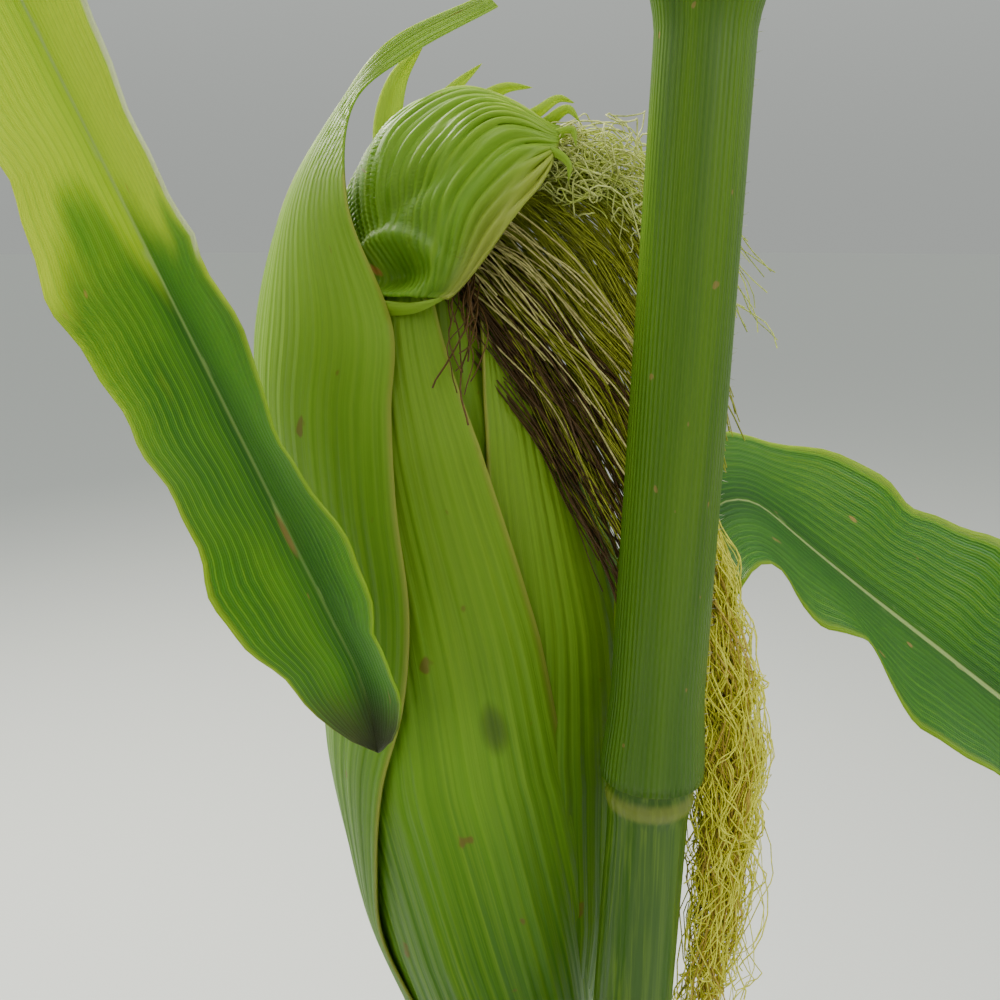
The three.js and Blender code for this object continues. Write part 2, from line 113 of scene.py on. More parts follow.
class Value:
    # what a node gives; arithmetic on it adds Math nodes
    def __init__(self, nodes, socket):
        self.nodes, self.socket = nodes, socket

    def other(self, output):
        # another output of the same node
        return Value(self.nodes, self.socket.node.outputs[output])

    def maths(self, operation, *others):
        return self.nodes.node("ShaderNodeMath", [self, *others], operation=operation)

    __add__ = partialmethod(maths, "ADD")
    __sub__ = partialmethod(maths, "SUBTRACT")
    __mul__ = partialmethod(maths, "MULTIPLY")
    __truediv__ = partialmethod(maths, "DIVIDE")
    __pow__ = partialmethod(maths, "POWER")
    size = partialmethod(maths, "ABSOLUTE")
    sine = partialmethod(maths, "SINE")

    def ramp(self, low, high, start=0.0, end=1.0):
        # 0 below low and 1 above high, smooth between; start and end change those two levels
        levels = {"Value": self, "From Min": low, "From Max": high, "To Min": start, "To Max": end}
        return self.nodes.node("ShaderNodeMapRange", levels, interpolation_type="SMOOTHSTEP")


glowRadius = (0.9, 1.0, 0.25)     # how far red, green and blue spread under a leaf's skin


class Finish(Nodes):
    # the nodes of owner, a new material or world; colour is what coats are laid on
    def __init__(self, owner):
        self.owner, self.colour = owner, None
        owner.use_nodes = True
        self.tree = owner.node_tree
        self.tree.nodes.clear()

    def blend(self, mask, below, above):
        below, above = [(*c, 1.0) if isinstance(c, tuple) else c for c in (below, above)]
        return self.node("Mix", {0: mask, 6: below, 7: above}, 2, data_type="RGBA")

    def coat(self, colour, mask, *levels):
        # lays colour over what is there, where mask says, or between these levels of it
        self.colour = self.blend(mask.ramp(*levels) if levels else mask, self.colour, colour)

    def noise(self, where, scale, detail, roughness):
        # scale is one value for each axis
        where = self.node("VectorMath", [where, scale], operation="MULTIPLY")
        sockets = {"Vector": where, "Scale": 1.0, "Detail": detail, "Roughness": roughness}
        return self.node("TexNoise", sockets)

    def place(self):
        return self.node("TexCoord", (), "Object")

    def along(self):
        # the piece's own UV map and its two values: u runs along it from 0 to 1, and v across it
        uv = self.node("UVMap", uv_map="grown")
        u = self.node("SeparateXYZ", [uv])
        return uv, u, u.other(1)

    def spot(self, u, v, place, wobble):
        # 1 in the middle of one mark and 0 outside it; place holds its two middles and its two reaches
        middleU, middleV, reachU, reachV = place
        far = ((u - middleU) / reachU) ** 2.0 + ((v - middleV) / reachV) ** 2.0 + wobble
        return far.ramp(0.1, 1.0, 1.0, 0.0)

    def bump(self, height, strength, distance):
        return self.node("Bump", {"Strength": strength, "Distance": distance, "Height": height})

    def close(self, kind, surface):
        self.node(kind, {"Surface": surface})
        return self.owner

    def finish(self, roughness, normal, glow, reach, specular):
        # glow is how much light passes under the skin, and reach how far
        surface = self.node("BsdfPrincipled", {
            "Base Color": self.colour, "Roughness": roughness, "Normal": normal, "Subsurface Weight": glow,
            "Subsurface Scale": reach, "Subsurface Radius": glowRadius, "Specular IOR Level": specular})
        return self.close("OutputMaterial", surface)


def addSky():
    # pale grey, darkening towards the horizon until it meets the floor's tone
    sky = Finish(bpy.data.worlds.new("paleStudio"))
    rise = sky.node("SeparateXYZ", [sky.node("TexCoord", (), "Generated")], 2)
    tone = sky.blend(rise.ramp(0.0, skyPlan["blendTop"]), skyPlan["horizon"], skyPlan["above"])
    light = sky.node("Background", {"Color": tone, "Strength": 1.0})
    bpy.context.scene.world = sky.close("OutputWorld", light)


addSky()

# Colours and finishes
leafColours = {
    "deep": (0.016, 0.105, 0.003),
    "fresh": (0.055, 0.215, 0.004),
    "sunny": (0.520, 0.720, 0.008),
    "vein": (0.130, 0.360, 0.008),
    "under": (0.024, 0.105, 0.013),
    "midrib": (0.420, 0.560, 0.170),
    "straw": (0.300, 0.190, 0.055),
    "dark": (0.030, 0.035, 0.008),
    "pale": (0.620, 0.680, 0.400),
}
hangingMarks = {
    # the lit patch is painted sunlight, lighter between these places along the blade
    "lit": (0.50, 0.58, 0.755, 0.80),       # between these places along the blade it is lighter, in patches
    "scar": (0.893, 0.46, 0.013, 0.035),
    "paleMargin": (0.968, 0.988, 0.78),     # from, to across the blade, and where it ends along it
}


def makeLeafFinish(name, underside=False, hanging=False):
    leaf = Finish(bpy.data.materials.new(name))
    uv, u, v = leaf.along()
    across = (v - 0.5).size() * 2.0
    streaks = leaf.noise(uv, (2.2, 85.0, 1.0), 4.0, 0.6)
    patches = leaf.noise(uv, (7.0, 2.6, 1.0), 2.0, 0.5)
    base = leafColours["under"] if underside else leafColours["deep"]
    # painted shade: the sunlit hanging leaf keeps all its lighter patches, and every other leaf shows only
    # part of them
    litShare = 1.0 if hanging else 0.35
    leaf.colour = leaf.blend(patches.ramp(0.40, 0.72, 0.0, litShare), base, leafColours["fresh"])
    leaf.coat(leafColours["vein"], streaks, 0.46, 0.80, 0.0, 0.40)
    if hanging:
        # painted sunlight on the hanging leaf: a lighter patch with a soft edge
        start, full, fade, end = hangingMarks["lit"]
        paintedSunlight = (u + (patches - 0.5) * 0.24).ramp(fade, end, 0.85, 0.0) * u.ramp(start, full)
        leaf.coat(leafColours["sunny"], paintedSunlight)
    sideVeins = (v * 2.0 * math.pi * 26.0).sine()
    fineVeins = (v * 2.0 * math.pi * 104.0).sine()
    # the side veins also show less on the leaves in painted shade
    leaf.coat(leafColours["vein"], sideVeins.ramp(0.55, 1.0, 0.0, 0.34 if hanging else 0.24))
    leaf.coat(leafColours["sunny"], across, 0.93, 1.0, 0.0, 0.30)
    rib = across.ramp(0.035, 0.085, 1.0, 0.0) * u.ramp(0.55, 1.0, 1.0, 0.25)
    leaf.coat(leafColours["midrib"], rib)
    leaf.coat(leafColours["midrib"], u, 0.004, 0.03, 0.75, 0.0)
    flecks = leaf.noise(uv, (46.0, 13.0, 1.0), 2.0, 0.4)
    leaf.coat(leafColours["straw"], flecks, 0.735, 0.77, 0.0, 0.85)
    besideRib = across.ramp(0.07, 0.14, 1.0, 0.0) * flecks.ramp(0.60, 0.68, 0.0, 0.5)
    leaf.coat(leafColours["midrib"], besideRib)
    if hanging:
        low, high, end = hangingMarks["paleMargin"]
        leaf.coat(leafColours["pale"], v.ramp(low, high) * u.ramp(end - 0.01, end, 0.85, 0.0))
        scar = leaf.spot(u, v, hangingMarks["scar"], (streaks - 0.5) * 1.4)
        leaf.coat(leafColours["straw"], scar * 0.85)
    leaf.coat(leafColours["dark" if hanging else "straw"], u + streaks * 0.05, 0.985, 1.02)
    relief = sideVeins * 0.5 + fineVeins * 0.22 + streaks * 0.6
    rough = streaks.ramp(0.3, 0.8, 0.40, 0.58)
    return leaf.finish(rough, leaf.bump(relief, 0.55, 0.0006), 0.30, 0.004, 0.32)


stemColours = {
    "stalk": (0.038, 0.105, 0.004),
    "stalkPale": (0.150, 0.250, 0.016),
    "ring": (0.230, 0.250, 0.040),
    "purple": (0.090, 0.030, 0.018),
    "sheath": (0.040, 0.115, 0.003),
    "sheathLight": (0.120, 0.240, 0.006),
    "margin": (0.480, 0.540, 0.200),
    "hair": (0.760, 0.780, 0.560),
    "root": (0.240, 0.200, 0.080),
}


def makeSheathFinish():
    sheath = Finish(bpy.data.materials.new("sheath"))
    uv, u, v = sheath.along()
    broad = sheath.noise(uv, (1.4, 11.0, 1.0), 2.0, 0.5)
    streaks = sheath.noise(uv, (2.6, 130.0, 1.0), 4.0, 0.6)
    veins = (v * 2.0 * math.pi * 64.0).sine()
    sheath.colour = sheath.blend(broad.ramp(0.25, 0.78, 0.12, 0.9), stemColours["sheath"],
                                 stemColours["sheathLight"])
    sheath.coat(stemColours["sheathLight"], streaks, 0.42, 0.80, 0.0, 0.35)
    sheath.coat(stemColours["stalkPale"], veins, 0.2, 1.0, 0.0, 0.16)
    # painted shade: each sheath darker towards its foot
    sheath.coat(stemColours["stalk"], u, 0.02, 0.75, 0.55, 0.0)
    edge = (v - 0.5).size() * 2.0
    sheath.coat(stemColours["margin"], edge, 0.925, 0.985, 0.0, 0.9)
    specks = sheath.noise(uv, (38.0, 24.0, 1.0), 1.0, 0.4)
    sheath.coat(leafColours["straw"], specks, 0.745, 0.775, 0.0, 0.7)
    relief = veins * 0.5 + streaks * 0.7
    rough = streaks.ramp(0.3, 0.8, 0.36, 0.52)
    return sheath.finish(rough, sheath.bump(relief, 0.5, 0.0005), 0.18, 0.003, 0.35)


def makeStalkFinish():
    stalk = Finish(bpy.data.materials.new("stalkSkin"))
    where = stalk.place()
    height = stalk.node("SeparateXYZ", [where], 2)
    lines = stalk.noise(where, (900.0, 900.0, 9.0), 3.0, 0.6)
    blotches = stalk.noise(where, (30.0, 30.0, 11.0), 3.0, 0.5)
    stalk.colour = stalk.blend(lines.ramp(0.42, 0.74, 0.0, 0.7), stemColours["stalk"],
                               stemColours["stalkPale"])
    stalk.coat(stemColours["sheathLight"], blotches, 0.50, 0.75, 0.0, 0.45)
    low = height.ramp(0.02, 0.34, 0.85, 0.0) * blotches.ramp(0.36, 0.58)
    stalk.coat(stemColours["purple"], low)
    stalk.coat(stemColours["root"], height, 0.004, 0.055, 0.8, 0.0)
    for level in nodeHeights:
        band = (height - level * millimetre).size().ramp(0.0012, 0.0032, 0.6, 0.0)
        stalk.coat(stemColours["ring"], band)
    relief = lines + blotches * 0.6
    return stalk.finish(lines.ramp(0.3, 0.7, 0.34, 0.5), stalk.bump(relief, 0.4, 0.0005), 0.10, 0.003, 0.4)


huskColours = {
    "green": (0.104, 0.275, 0.004),
    "deep": (0.032, 0.138, 0.002),
    "pale": (0.300, 0.480, 0.030),
    "brown": (0.200, 0.100, 0.020),
    "straw": (0.440, 0.370, 0.080),
    "orange": (0.500, 0.190, 0.030),
}


def makeHuskFinish(name, lightness, ribs, straw, oneMargin=False, darkSpot=None, lowShade=0.7, fleck=None):
    husk = Finish(bpy.data.materials.new(name))
    uv, u, v = husk.along()
    broad = husk.noise(uv, (2.6, 4.5, 1.0), 3.0, 0.5)
    streaks = husk.noise(uv, (2.5, 90.0, 1.0), 4.0, 0.6)
    veins = (v * 2.0 * math.pi * ribs).sine()
    husk.colour = husk.blend(broad.ramp(0.32, 0.68), huskColours["deep"], huskColours["green"])
    husk.coat(huskColours["pale"], lightness)
    husk.coat(huskColours["deep"], u.ramp(0.10, 0.58, lowShade, 0.0))
    husk.coat(huskColours["pale"], streaks, 0.40, 0.78, 0.0, 0.42)
    husk.coat(huskColours["pale"], veins, 0.1, 1.0, 0.0, 0.15)
    # paler towards the top: partly the husk leaves' own paler tips, partly painted light from above
    husk.coat(huskColours["pale"], u, 0.40, 0.90, 0.0, 0.55)
    edge = v if oneMargin else (v - 0.5).size() * 2.0
    husk.coat(huskColours["straw"], edge.ramp(0.94, 1.0, 0.0, straw))
    # one soft dark spot: its place along and across, and its reach
    if darkSpot:
        husk.coat(leafColours["dark"], husk.spot(u, v, darkSpot, (broad - 0.5) * 1.6) * 0.55)
    if fleck:
        # one small orange mark: its place along and across, and its reach
        husk.coat(huskColours["orange"], husk.spot(u, v, fleck, (streaks - 0.5) * 1.2) * 0.8)
    spots = husk.noise(uv, (26.0, 10.0, 1.0), 2.0, 0.5)
    husk.coat(huskColours["brown"], spots, 0.70, 0.76, 0.0, 0.7)
    relief = veins * 0.35 + streaks * 0.8
    return husk.finish(streaks.ramp(0.3, 0.8, 0.44, 0.60), husk.bump(relief, 0.5, 0.0006), 0.30, 0.004, 0.32)


def makePlainFinish(name, colour, roughness, glow=0.0, specular=0.4, mottle=0.3):
    plain = Finish(bpy.data.materials.new(name))
    grain = plain.noise(plain.place(), (900.0, 900.0, 900.0), 2.0, 0.5)
    shade = tuple(channel * (1.0 - mottle) for channel in colour)
    plain.colour = plain.blend(grain.ramp(0.3, 0.7), shade, colour)
    return plain.finish(roughness, plain.bump(grain, 0.2, 0.0002), glow, 0.002, specular)


# The plant's rules, as in part.mjs
internodes = [55, 65, 85, 105, 120, 135, 145, 155, 155, 200, 185, 165, 140]
nodeHeights = np.cumsum(internodes).tolist()
stalkPlan = {"top": 1890.0, "lean": 0.03, "zigzag": 1.2, "topRadius": 3.4, "taper": 9.4,
             "flare": 4.5, "flareHeight": 22.0, "bulge": 1.1, "bulgeLength": 3.0}
rootPlan = {"count": 9, "height": 46.0, "reach": 46.0, "radius": 2.6, "steps": 22}
sheathPlan = {"clear": 0.45, "thickness": 1.15, "bulge": 1.4, "bulgeLength": 24.0,
              "flare": 2.9, "collarLength": 16.0, "joinGap": 0.35}
earLeaf, hangingLeaf = 7, 8
leavesOfTheirOwn = {
    5: {"azimuth": 12, "turn": -16, "launch": 50},
    6: {"azimuth": 208, "launch": 50},
    earLeaf: {"azimuth": 73, "turn": -54, "launch": 80, "end": -37, "bendFrom": 0.084, "bendTo": 0.204,
              "length": 660, "roll": 58, "width": 84, "wrap": 33, "fold": 22, "sheathShare": 0.84},
    hangingLeaf: {"azimuth": 189, "turn": 4, "launch": 39, "end": -112, "bendFrom": 0.35, "bendTo": 0.427,
                  "length": 509, "roll": -49, "width": 40, "wrap": 56, "fold": 24, "taper": 8,
                  "sheathShare": 0.978},
}


def smooth(t):
    t = np.clip(t, 0.0, 1.0)
    return t * t * (3.0 - 2.0 * t)


def between(a, b, t):
    return a + (b - a) * t


def draw(seed):
    # from 0 to 1, the same for the same whole number
    s = math.sin(seed * 127.1 + 11.7) * 43758.5453
    return s - math.floor(s)


def rowValue(values, t):
    return np.interp(np.clip(t, 0.0, 1.0) * (len(values) - 1), range(len(values)), values)


def bell(x, middle, reach):
    return np.exp(-((x - middle) / reach) ** 2)


def unit(v):
    return v / np.maximum(np.linalg.norm(v, axis=-1, keepdims=True), 1e-9)


def wayRound(angle, level=1.0, rise=0.0):
    # the way that points out at this angle, in radians, round the stalk
    return np.array([level * math.cos(angle), level * math.sin(angle), rise])


def stalkAxis(z):
    below = sum(1 for h in nodeHeights if h <= z)
    low = nodeHeights[below - 1] if below else 0.0
    high = nodeHeights[below] if below < len(nodeHeights) else stalkPlan["top"]

    def side(i):
        if i <= 0 or i > len(nodeHeights):
            return 0.0
        return stalkPlan["zigzag"] if i % 2 else -stalkPlan["zigzag"]

    swing = between(side(below), side(below + 1), (z - low) / (high - low))
    return np.array([stalkPlan["lean"] * z + swing * 0.5, swing, z])


def stalkRadius(z):
    taper = stalkPlan["topRadius"] + stalkPlan["taper"] * (1.0 - (z / stalkPlan["top"]) ** 1.9)
    flare = stalkPlan["flare"] * max(0.0, 1.0 - z / stalkPlan["flareHeight"]) ** 2
    bulges = [stalkPlan["bulge"] * math.exp(-((z - h) / stalkPlan["bulgeLength"]) ** 2) for h in nodeHeights]
    return taper + flare + sum(bulges)


def leafShape(k):
    share = math.exp(-((k - 6.5) / 4.0) ** 2)
    shape = {"azimuth": 60 + 180 * ((k + 1) % 2) + 24 * (draw(k) - 0.5), "turn": 50 * (draw(k + 20) - 0.5),
             "roll": 24 * (draw(k + 30) - 0.5), "launch": 52 + 1.2 * k, "end": -74 + 4.4 * k,
             "bendFrom": 0.04 + 0.01 * k, "bendTo": 0.72 + 0.02 * k, "length": 350 + 400 * share,
             "width": 50 + 40 * share, "wrap": 60, "fold": 10, "taper": 2.1, "sheathShare": 0.955}
    shape.update(leavesOfTheirOwn.get(k, {}))
    return shape


def sheathSpan(k):
    upper = nodeHeights[k + 1] if k + 1 < len(nodeHeights) else nodeHeights[k] + internodes[k]
    clearOfNode = 2 * stalkPlan["bulgeLength"]
    reach = (upper - nodeHeights[k]) * leafShape(k)["sheathShare"]
    return nodeHeights[k] + clearOfNode, nodeHeights[k] + reach - clearOfNode


def sheathRadius(z, low, high):
    bulge = sheathPlan["bulge"] * (1.0 - smooth((z - low) / sheathPlan["bulgeLength"]))
    flare = sheathPlan["flare"] * smooth((z - high) / sheathPlan["collarLength"] + 1.0)
    return stalkRadius(z) + sheathPlan["clear"] + sheathPlan["thickness"] / 2 + bulge + flare


def curvePoint(points, t):
    # a smooth curve through points, as the source's curves run
    points = np.asarray(points, float)
    last = len(points) - 1
    i = min(int(np.clip(t, 0.0, 1.0) * last), last - 1)
    w = np.clip(t, 0.0, 1.0) * last - i
    p1, p2 = points[i], points[i + 1]
    p0 = points[i - 1] if i > 0 else 2 * points[0] - points[1]
    p3 = points[i + 2] if i + 2 <= last else 2 * points[last] - points[last - 1]
    d0, d1, d2 = (max(math.sqrt(np.linalg.norm(b - a)), 1e-3) for a, b in ((p0, p1), (p1, p2), (p2, p3)))
    m1 = d1 * ((p1 - p0) / d0 - (p2 - p0) / (d0 + d1) + (p2 - p1) / d1)
    m2 = d1 * ((p2 - p1) / d1 - (p3 - p1) / (d1 + d2) + (p3 - p2) / d2)
    return p1 + w * (m1 + w * (3 * (p2 - p1) - 2 * m1 - m2 + w * (2 * (p1 - p2) + m1 + m2)))


def curveWay(points, t):
    step = 1e-3
    return unit(curvePoint(points, min(t + step, 1.0)) - curvePoint(points, max(t - step, 0.0)))


# Makers of meshes and pieces
def makePiece(name, points, faces, uvs, materials, replaced, faceMaterials=None):
    # uvs holds one pair for each point
    mesh = bpy.data.meshes.new(name)
    mesh.from_pydata((np.asarray(points) * millimetre).tolist(), [], faces)
    layer = mesh.uv_layers.new(name="grown")
    corners = np.empty(len(mesh.loops), np.int32)
    mesh.loops.foreach_get("vertex_index", corners)
    layer.data.foreach_set("uv", np.asarray(uvs, np.float32)[corners].ravel())
    for material in materials:
        mesh.materials.append(material)
    if faceMaterials is not None:
        mesh.polygons.foreach_set("material_index", np.asarray(faceMaterials, np.int32))
    mesh.polygons.foreach_set("use_smooth", np.ones(len(mesh.polygons), bool))
    mesh.update()
    addPiece(name, mesh, replaced)


def addPiece(name, mesh, replaced):
    piece = addObject(name, mesh)
    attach(piece, "root")
    if replaced:
        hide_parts(*replaced)


def shares(plan):
    # from 0 to 1 along a sheet, as one column, and across it, as one row
    return np.linspace(0, 1, plan["rows"])[:, None], np.linspace(0, 1, plan["columns"])


def surface(place, u, v):
    return np.array([[place(a, b) for b in v] for a in u[:, 0]])


def sheetFaces(rows, columns):
    def at(i, j):
        return i * columns + j

    def wall(a, b):
        return (a, under + a, under + b, b)

    under = rows * columns
    top, bottom, rim = [], [], []
    for i in range(rows - 1):
        for j in range(columns - 1):
            corners = (at(i, j), at(i + 1, j), at(i + 1, j + 1), at(i, j + 1))
            top.append(corners)
            bottom.append(tuple(under + corners[n] for n in (0, 3, 2, 1)))
        rim += [wall(at(i, 0), at(i + 1, 0)), wall(at(i + 1, columns - 1), at(i, columns - 1))]
    for j in range(columns - 1):
        rim += [wall(at(0, j + 1), at(0, j)), wall(at(rows - 1, j), at(rows - 1, j + 1))]
    return top, bottom, rim


def sheetNormals(points):
    return unit(np.cross(np.gradient(points, axis=0), np.gradient(points, axis=1)))


def sheetPiece(name, middle, thickness, along, across, materials, replaced):
    # a closed thin sheet round the middle surface; along, which is one column, and across are its UV map
    rows, columns = middle.shape[:2]
    normal = sheetNormals(middle)
    half = (np.broadcast_to(thickness, (rows, columns)) / 2)[..., None]
    points = np.stack([middle + normal * half, middle - normal * half]).reshape(-1, 3)
    uv = np.stack(np.broadcast_arrays(along, across), -1).reshape(-1, 2)
    top, bottom, rim = sheetFaces(rows, columns)
    kinds = [0] * len(top) + [len(materials) - 1] * len(bottom) + [0] * len(rim)
    uvs = np.concatenate([uv, uv])
    makePiece(name, points, top + bottom + rim, uvs, materials, replaced, kinds)


# Leaf blades
bladePlan = {
    "spineSteps": 96,
    "solidThickness": 4.3,  # of the source's blade, which sets how far out its foot stands
    "rows": 130,
    "columns": 31,
    "thickness": 0.7,
    "ribHeight": 2.1,       # the midrib's extra thickness, mostly on the underside
    "ribWidth": 2.6,
    "ripple": 3.2,          # height of the waves along the margins
    "waveLength": 95.0,
    "marginWaver": 0.035,   # as a share of the half width
    "sink": 3.4,            # how far the foot of the blade closes in on its sheath
    # shares of the blade's length
    "sinkEnds": 0.09,
    "opensBy": 0.13,
    "turnsBy": 0.3,
    "widestAt": 0.42,
}
# ripple, wave length and margin waver of the two leaves that the photo shows
wavesOfTheirOwn = {earLeaf: (4.5, 95.0, 0.035), hangingLeaf: (1.9, 66.0, 0.045)}
# a drooping lobe near the foot of the ear's leaf, and the torn margin and rolled tip of the hanging leaf
lobe = {"leaf": earLeaf, "place": 0.188, "reach": 0.040, "gain": 0.12, "droop": 17.0}
tornMargin = {
    "leaf": hangingLeaf,
    "places": [0.60, 0.770, 0.779, 0.82, 0.858, 0.867, 0.900, 0.926, 0.934, 0.965, 1.0],
    "widths": [1.00, 1.13, 0.92, 1.02, 1.04, 0.95, 1.12, 1.08, 0.88, 1.08, 1.0],
}
tipCurl = {"leaf": hangingLeaf, "from": 0.955, "height": 6.0, "taper": 26}


def collarOf(k):
    low, high = sheathSpan(k)
    radius = (sheathRadius(high, low, high) + sheathPlan["thickness"] / 2 + sheathPlan["joinGap"]
              + bladePlan["solidThickness"] / 2)
    return radius, high + sheathPlan["joinGap"] + 1.0


def spineOf(k):
    steps, shape = bladePlan["spineSteps"], leafShape(k)
    radius, height = collarOf(k)
    start = math.radians(shape["azimuth"])
    here = stalkAxis(height) + radius * wayRound(start)
    frames = []
    for i in range(steps + 1):
        u = i / steps
        bend = smooth((u - shape["bendFrom"]) / (shape["bendTo"] - shape["bendFrom"]))
        rise = math.radians(between(shape["launch"], shape["end"], bend))
        heading = math.radians(shape["azimuth"] + shape["turn"] * smooth(u / bladePlan["turnsBy"]))
        forward = wayRound(heading, math.cos(rise), math.sin(rise))
        level = np.array([-math.sin(heading), math.cos(heading), 0.0])
        roll = math.radians(shape["roll"] * smooth(u / bladePlan["turnsBy"]))
        side = level * math.cos(roll) + np.cross(forward, level) * math.sin(roll)
        frames.append((here.copy(), side, np.cross(forward, side)))
        here = here + forward * shape["length"] / steps
    return [np.array(column) for column in zip(*frames)]


def addBlade(k):
    shape = leafShape(k)
    radius, collarHeight = collarOf(k)
    u = np.linspace(0.0, 1.0, bladePlan["rows"])[:, None] ** 0.92
    share = np.linspace(-1.0, 1.0, bladePlan["columns"])
    c = np.sign(share) * np.abs(share) ** 1.25
    place, marks = u * bladePlan["spineSteps"], range(bladePlan["spineSteps"] + 1)
    middle, side, up = (np.stack([np.interp(place, marks, part[:, axis]) for axis in range(3)], -1)
                        for part in spineOf(k))
    # half of its width at each step along it, and how each margin wavers from that
    foot = math.radians(shape["wrap"]) * radius
    taper = tipCurl["taper"] if k == tipCurl["leaf"] else shape["taper"]
    widest = bladePlan["widestAt"]
    narrowing = np.clip((u - widest) / (1 - widest), 0.0, 1.0) ** taper
    half = between(foot, shape["width"] / 2, smooth(u / widest)) * (1.0 - 0.985 * narrowing)
    usual = (bladePlan["ripple"], bladePlan["waveLength"], bladePlan["marginWaver"])
    rippleHeight, waveLength, marginWaver = wavesOfTheirOwn.get(k, usual)
    waves = 2 * math.pi * u * shape["length"] / waveLength
    waver = marginWaver * (np.sin(waves * 1.7 + 5 * draw(k + 70)) + 0.5 * np.sin(waves * 3.9))
    left, right = 1 + waver * smooth(u * 4), 1 + waver[::-1] * smooth(u * 4)
    if k == lobe["leaf"]:
        nearLobe = bell(u, lobe["place"], lobe["reach"])
        left = left + lobe["gain"] * nearLobe
    if k == tornMargin["leaf"]:
        right = right * np.interp(u, tornMargin["places"], tornMargin["widths"])
    across = half * c * np.where(c < 0, left, right)
    # across, it is curled round the sheath at the foot, and opens into a shallow fold
    opened = smooth(u / bladePlan["opensBy"])
    curl = np.maximum(1.0 - opened, 1e-4) / radius
    fold = math.tan(math.radians(shape["fold"]))
    lift = (1 - np.cos(curl * across)) / curl + fold * opened * np.abs(across)
    # waves run along both margins, out of step
    height = rippleHeight * (half / (shape["width"] / 2)) * smooth(u / 0.25)
    wholeTurn = 6.28
    phase = wholeTurn * np.where(c < 0, draw(k + 90), draw(k + 91))
    ripple = height * np.abs(c) ** 2.4 * np.sin(waves * np.where(c < 0, 1.0, 1.23) + phase)
    rib = bell(across, 0, bladePlan["ribWidth"]) * (1 - 0.75 * smooth(u)) * bladePlan["ribHeight"]
    points = middle + side * (np.sin(curl * across) / curl)[..., None]
    points = points + up * (lift + ripple - 0.42 * rib)[..., None]
    if k == lobe["leaf"]:
        droop = nearLobe * np.clip(-c, 0, 1) ** 1.3
        points = points - np.array([0.0, 0.0, lobe["droop"]]) * droop[..., None]
    if k == tipCurl["leaf"]:
        rolled = np.clip((u - tipCurl["from"]) / (1 - tipCurl["from"]), 0, 1) ** 2
        points = points + up * (tipCurl["height"] * rolled)[..., None]
    closing = bladePlan["sink"] * (1 - smooth(u / bladePlan["sinkEnds"]))[..., None]
    inward = (stalkAxis(collarHeight) - points) * (1.0, 1.0, 0.0)
    points = points + unit(inward) * closing
    thickness = bladePlan["thickness"] * (1 - 0.35 * np.abs(c)) + rib
    finishes = hangingFinishes if k == hangingLeaf else leafFinishes
    sheetPiece(f"leaf_{k:02d}_blade", points, thickness, u, share * 0.5 + 0.5, finishes,
               [f"leaf_{k:02d}_inner", f"leaf_{k:02d}_outer"])


# Leaf sheaths
sheathFine = {"rows": 60, "columns": 73, "thickness": 0.7, "overlap": 13.0, "lap": 0.45}


def sheathEdges(k, u):
    shape = leafShape(k)
    if k != earLeaf:
        return shape["azimuth"] - 180 - sheathFine["overlap"], shape["azimuth"] + 180 + sheathFine["overlap"]
    return (between(shape["azimuth"] - 150, shape["azimuth"] - shape["wrap"], smooth(u)),
            between(shape["azimuth"] + 6, shape["azimuth"] + shape["wrap"], smooth(u)))


def sheathPoint(k, u, v):
    low, high = sheathSpan(k)
    z = between(low, high + 0.8, u)
    start, end = sheathEdges(k, u)
    angle = math.radians(between(start, end, v))
    radius = sheathRadius(min(z, high), low, high) + (2 * v - 1) * sheathFine["lap"] * (k != earLeaf)
    return stalkAxis(z) + radius * wayRound(angle)


def addSheath(k):
    u, v = shares(sheathFine)
    points = surface(lambda a, b: sheathPoint(k, a, b), u, v)
    edge = np.abs(2 * v - 1)
    thickness = sheathFine["thickness"] * (1 - 0.6 * smooth((edge - 0.9) / 0.1))
    sheetPiece(f"leaf_{k:02d}_wrap", points, thickness, u, v, [sheathFinish],
               [f"leaf_{k:02d}_sheath"])


# Ear, husks and shank; places are measured from the stalk's axis at the height where the ear ends
earPlan = {
    "height": 1150.0,
    "middles": [(-33, 31, 905), (-38, 35, 927), (-43, 38, 961), (-49, 42, 1009),
                (-52, 44, 1054), (-59, 46, 1104), (-61, 47, 1138), (-58, 47, 1160)],
    "radii": [12, 22, 28, 32.5, 32.5, 29, 21, 9],
    "huskThickness": 1.6,
    "huskGap": 1.1,
}
# layer, foot and tip along the ear, angles of the left and right margins, and how far one margin flares
huskPlans = {
    "husk_back": {"layer": 0, "from": 0.05, "to": 0.88, "left": [148, 142, 165], "right": [252, 262, 222]},
    "husk_right": {"layer": 0, "from": 0.05, "to": 0.86, "left": [12, 8, 42], "right": [140, 134, 92]},
    "husk_front": {"layer": 1, "from": 0.02, "to": 0.875, "left": [-88, -95, -75], "right": [88, 46, 10]},
    "husk_left": {"layer": 2, "from": 0.3, "to": 0.83, "left": [-78, -112, -100], "right": [-56, -14, -9],
                  "flare": 15},
}
huskFine = {"rows": 110, "columns": 61, "thickness": 0.8, "pleat": 0.20, "pleats": 15, "marginWaver": 1.6}
strapRows = [
    [(-96, 49, 1163), (-91, 36, 1163), (-77, 28, 1163)],
    [(-81, 48, 1186), (-79, 45, 1187), (-76, 43, 1187)],
    [(-69, 51, 1201), (-66, 50, 1200), (-63, 49, 1198)],
    [(-45, 61, 1214), (-43, 60, 1213), (-41, 59, 1211)],
]
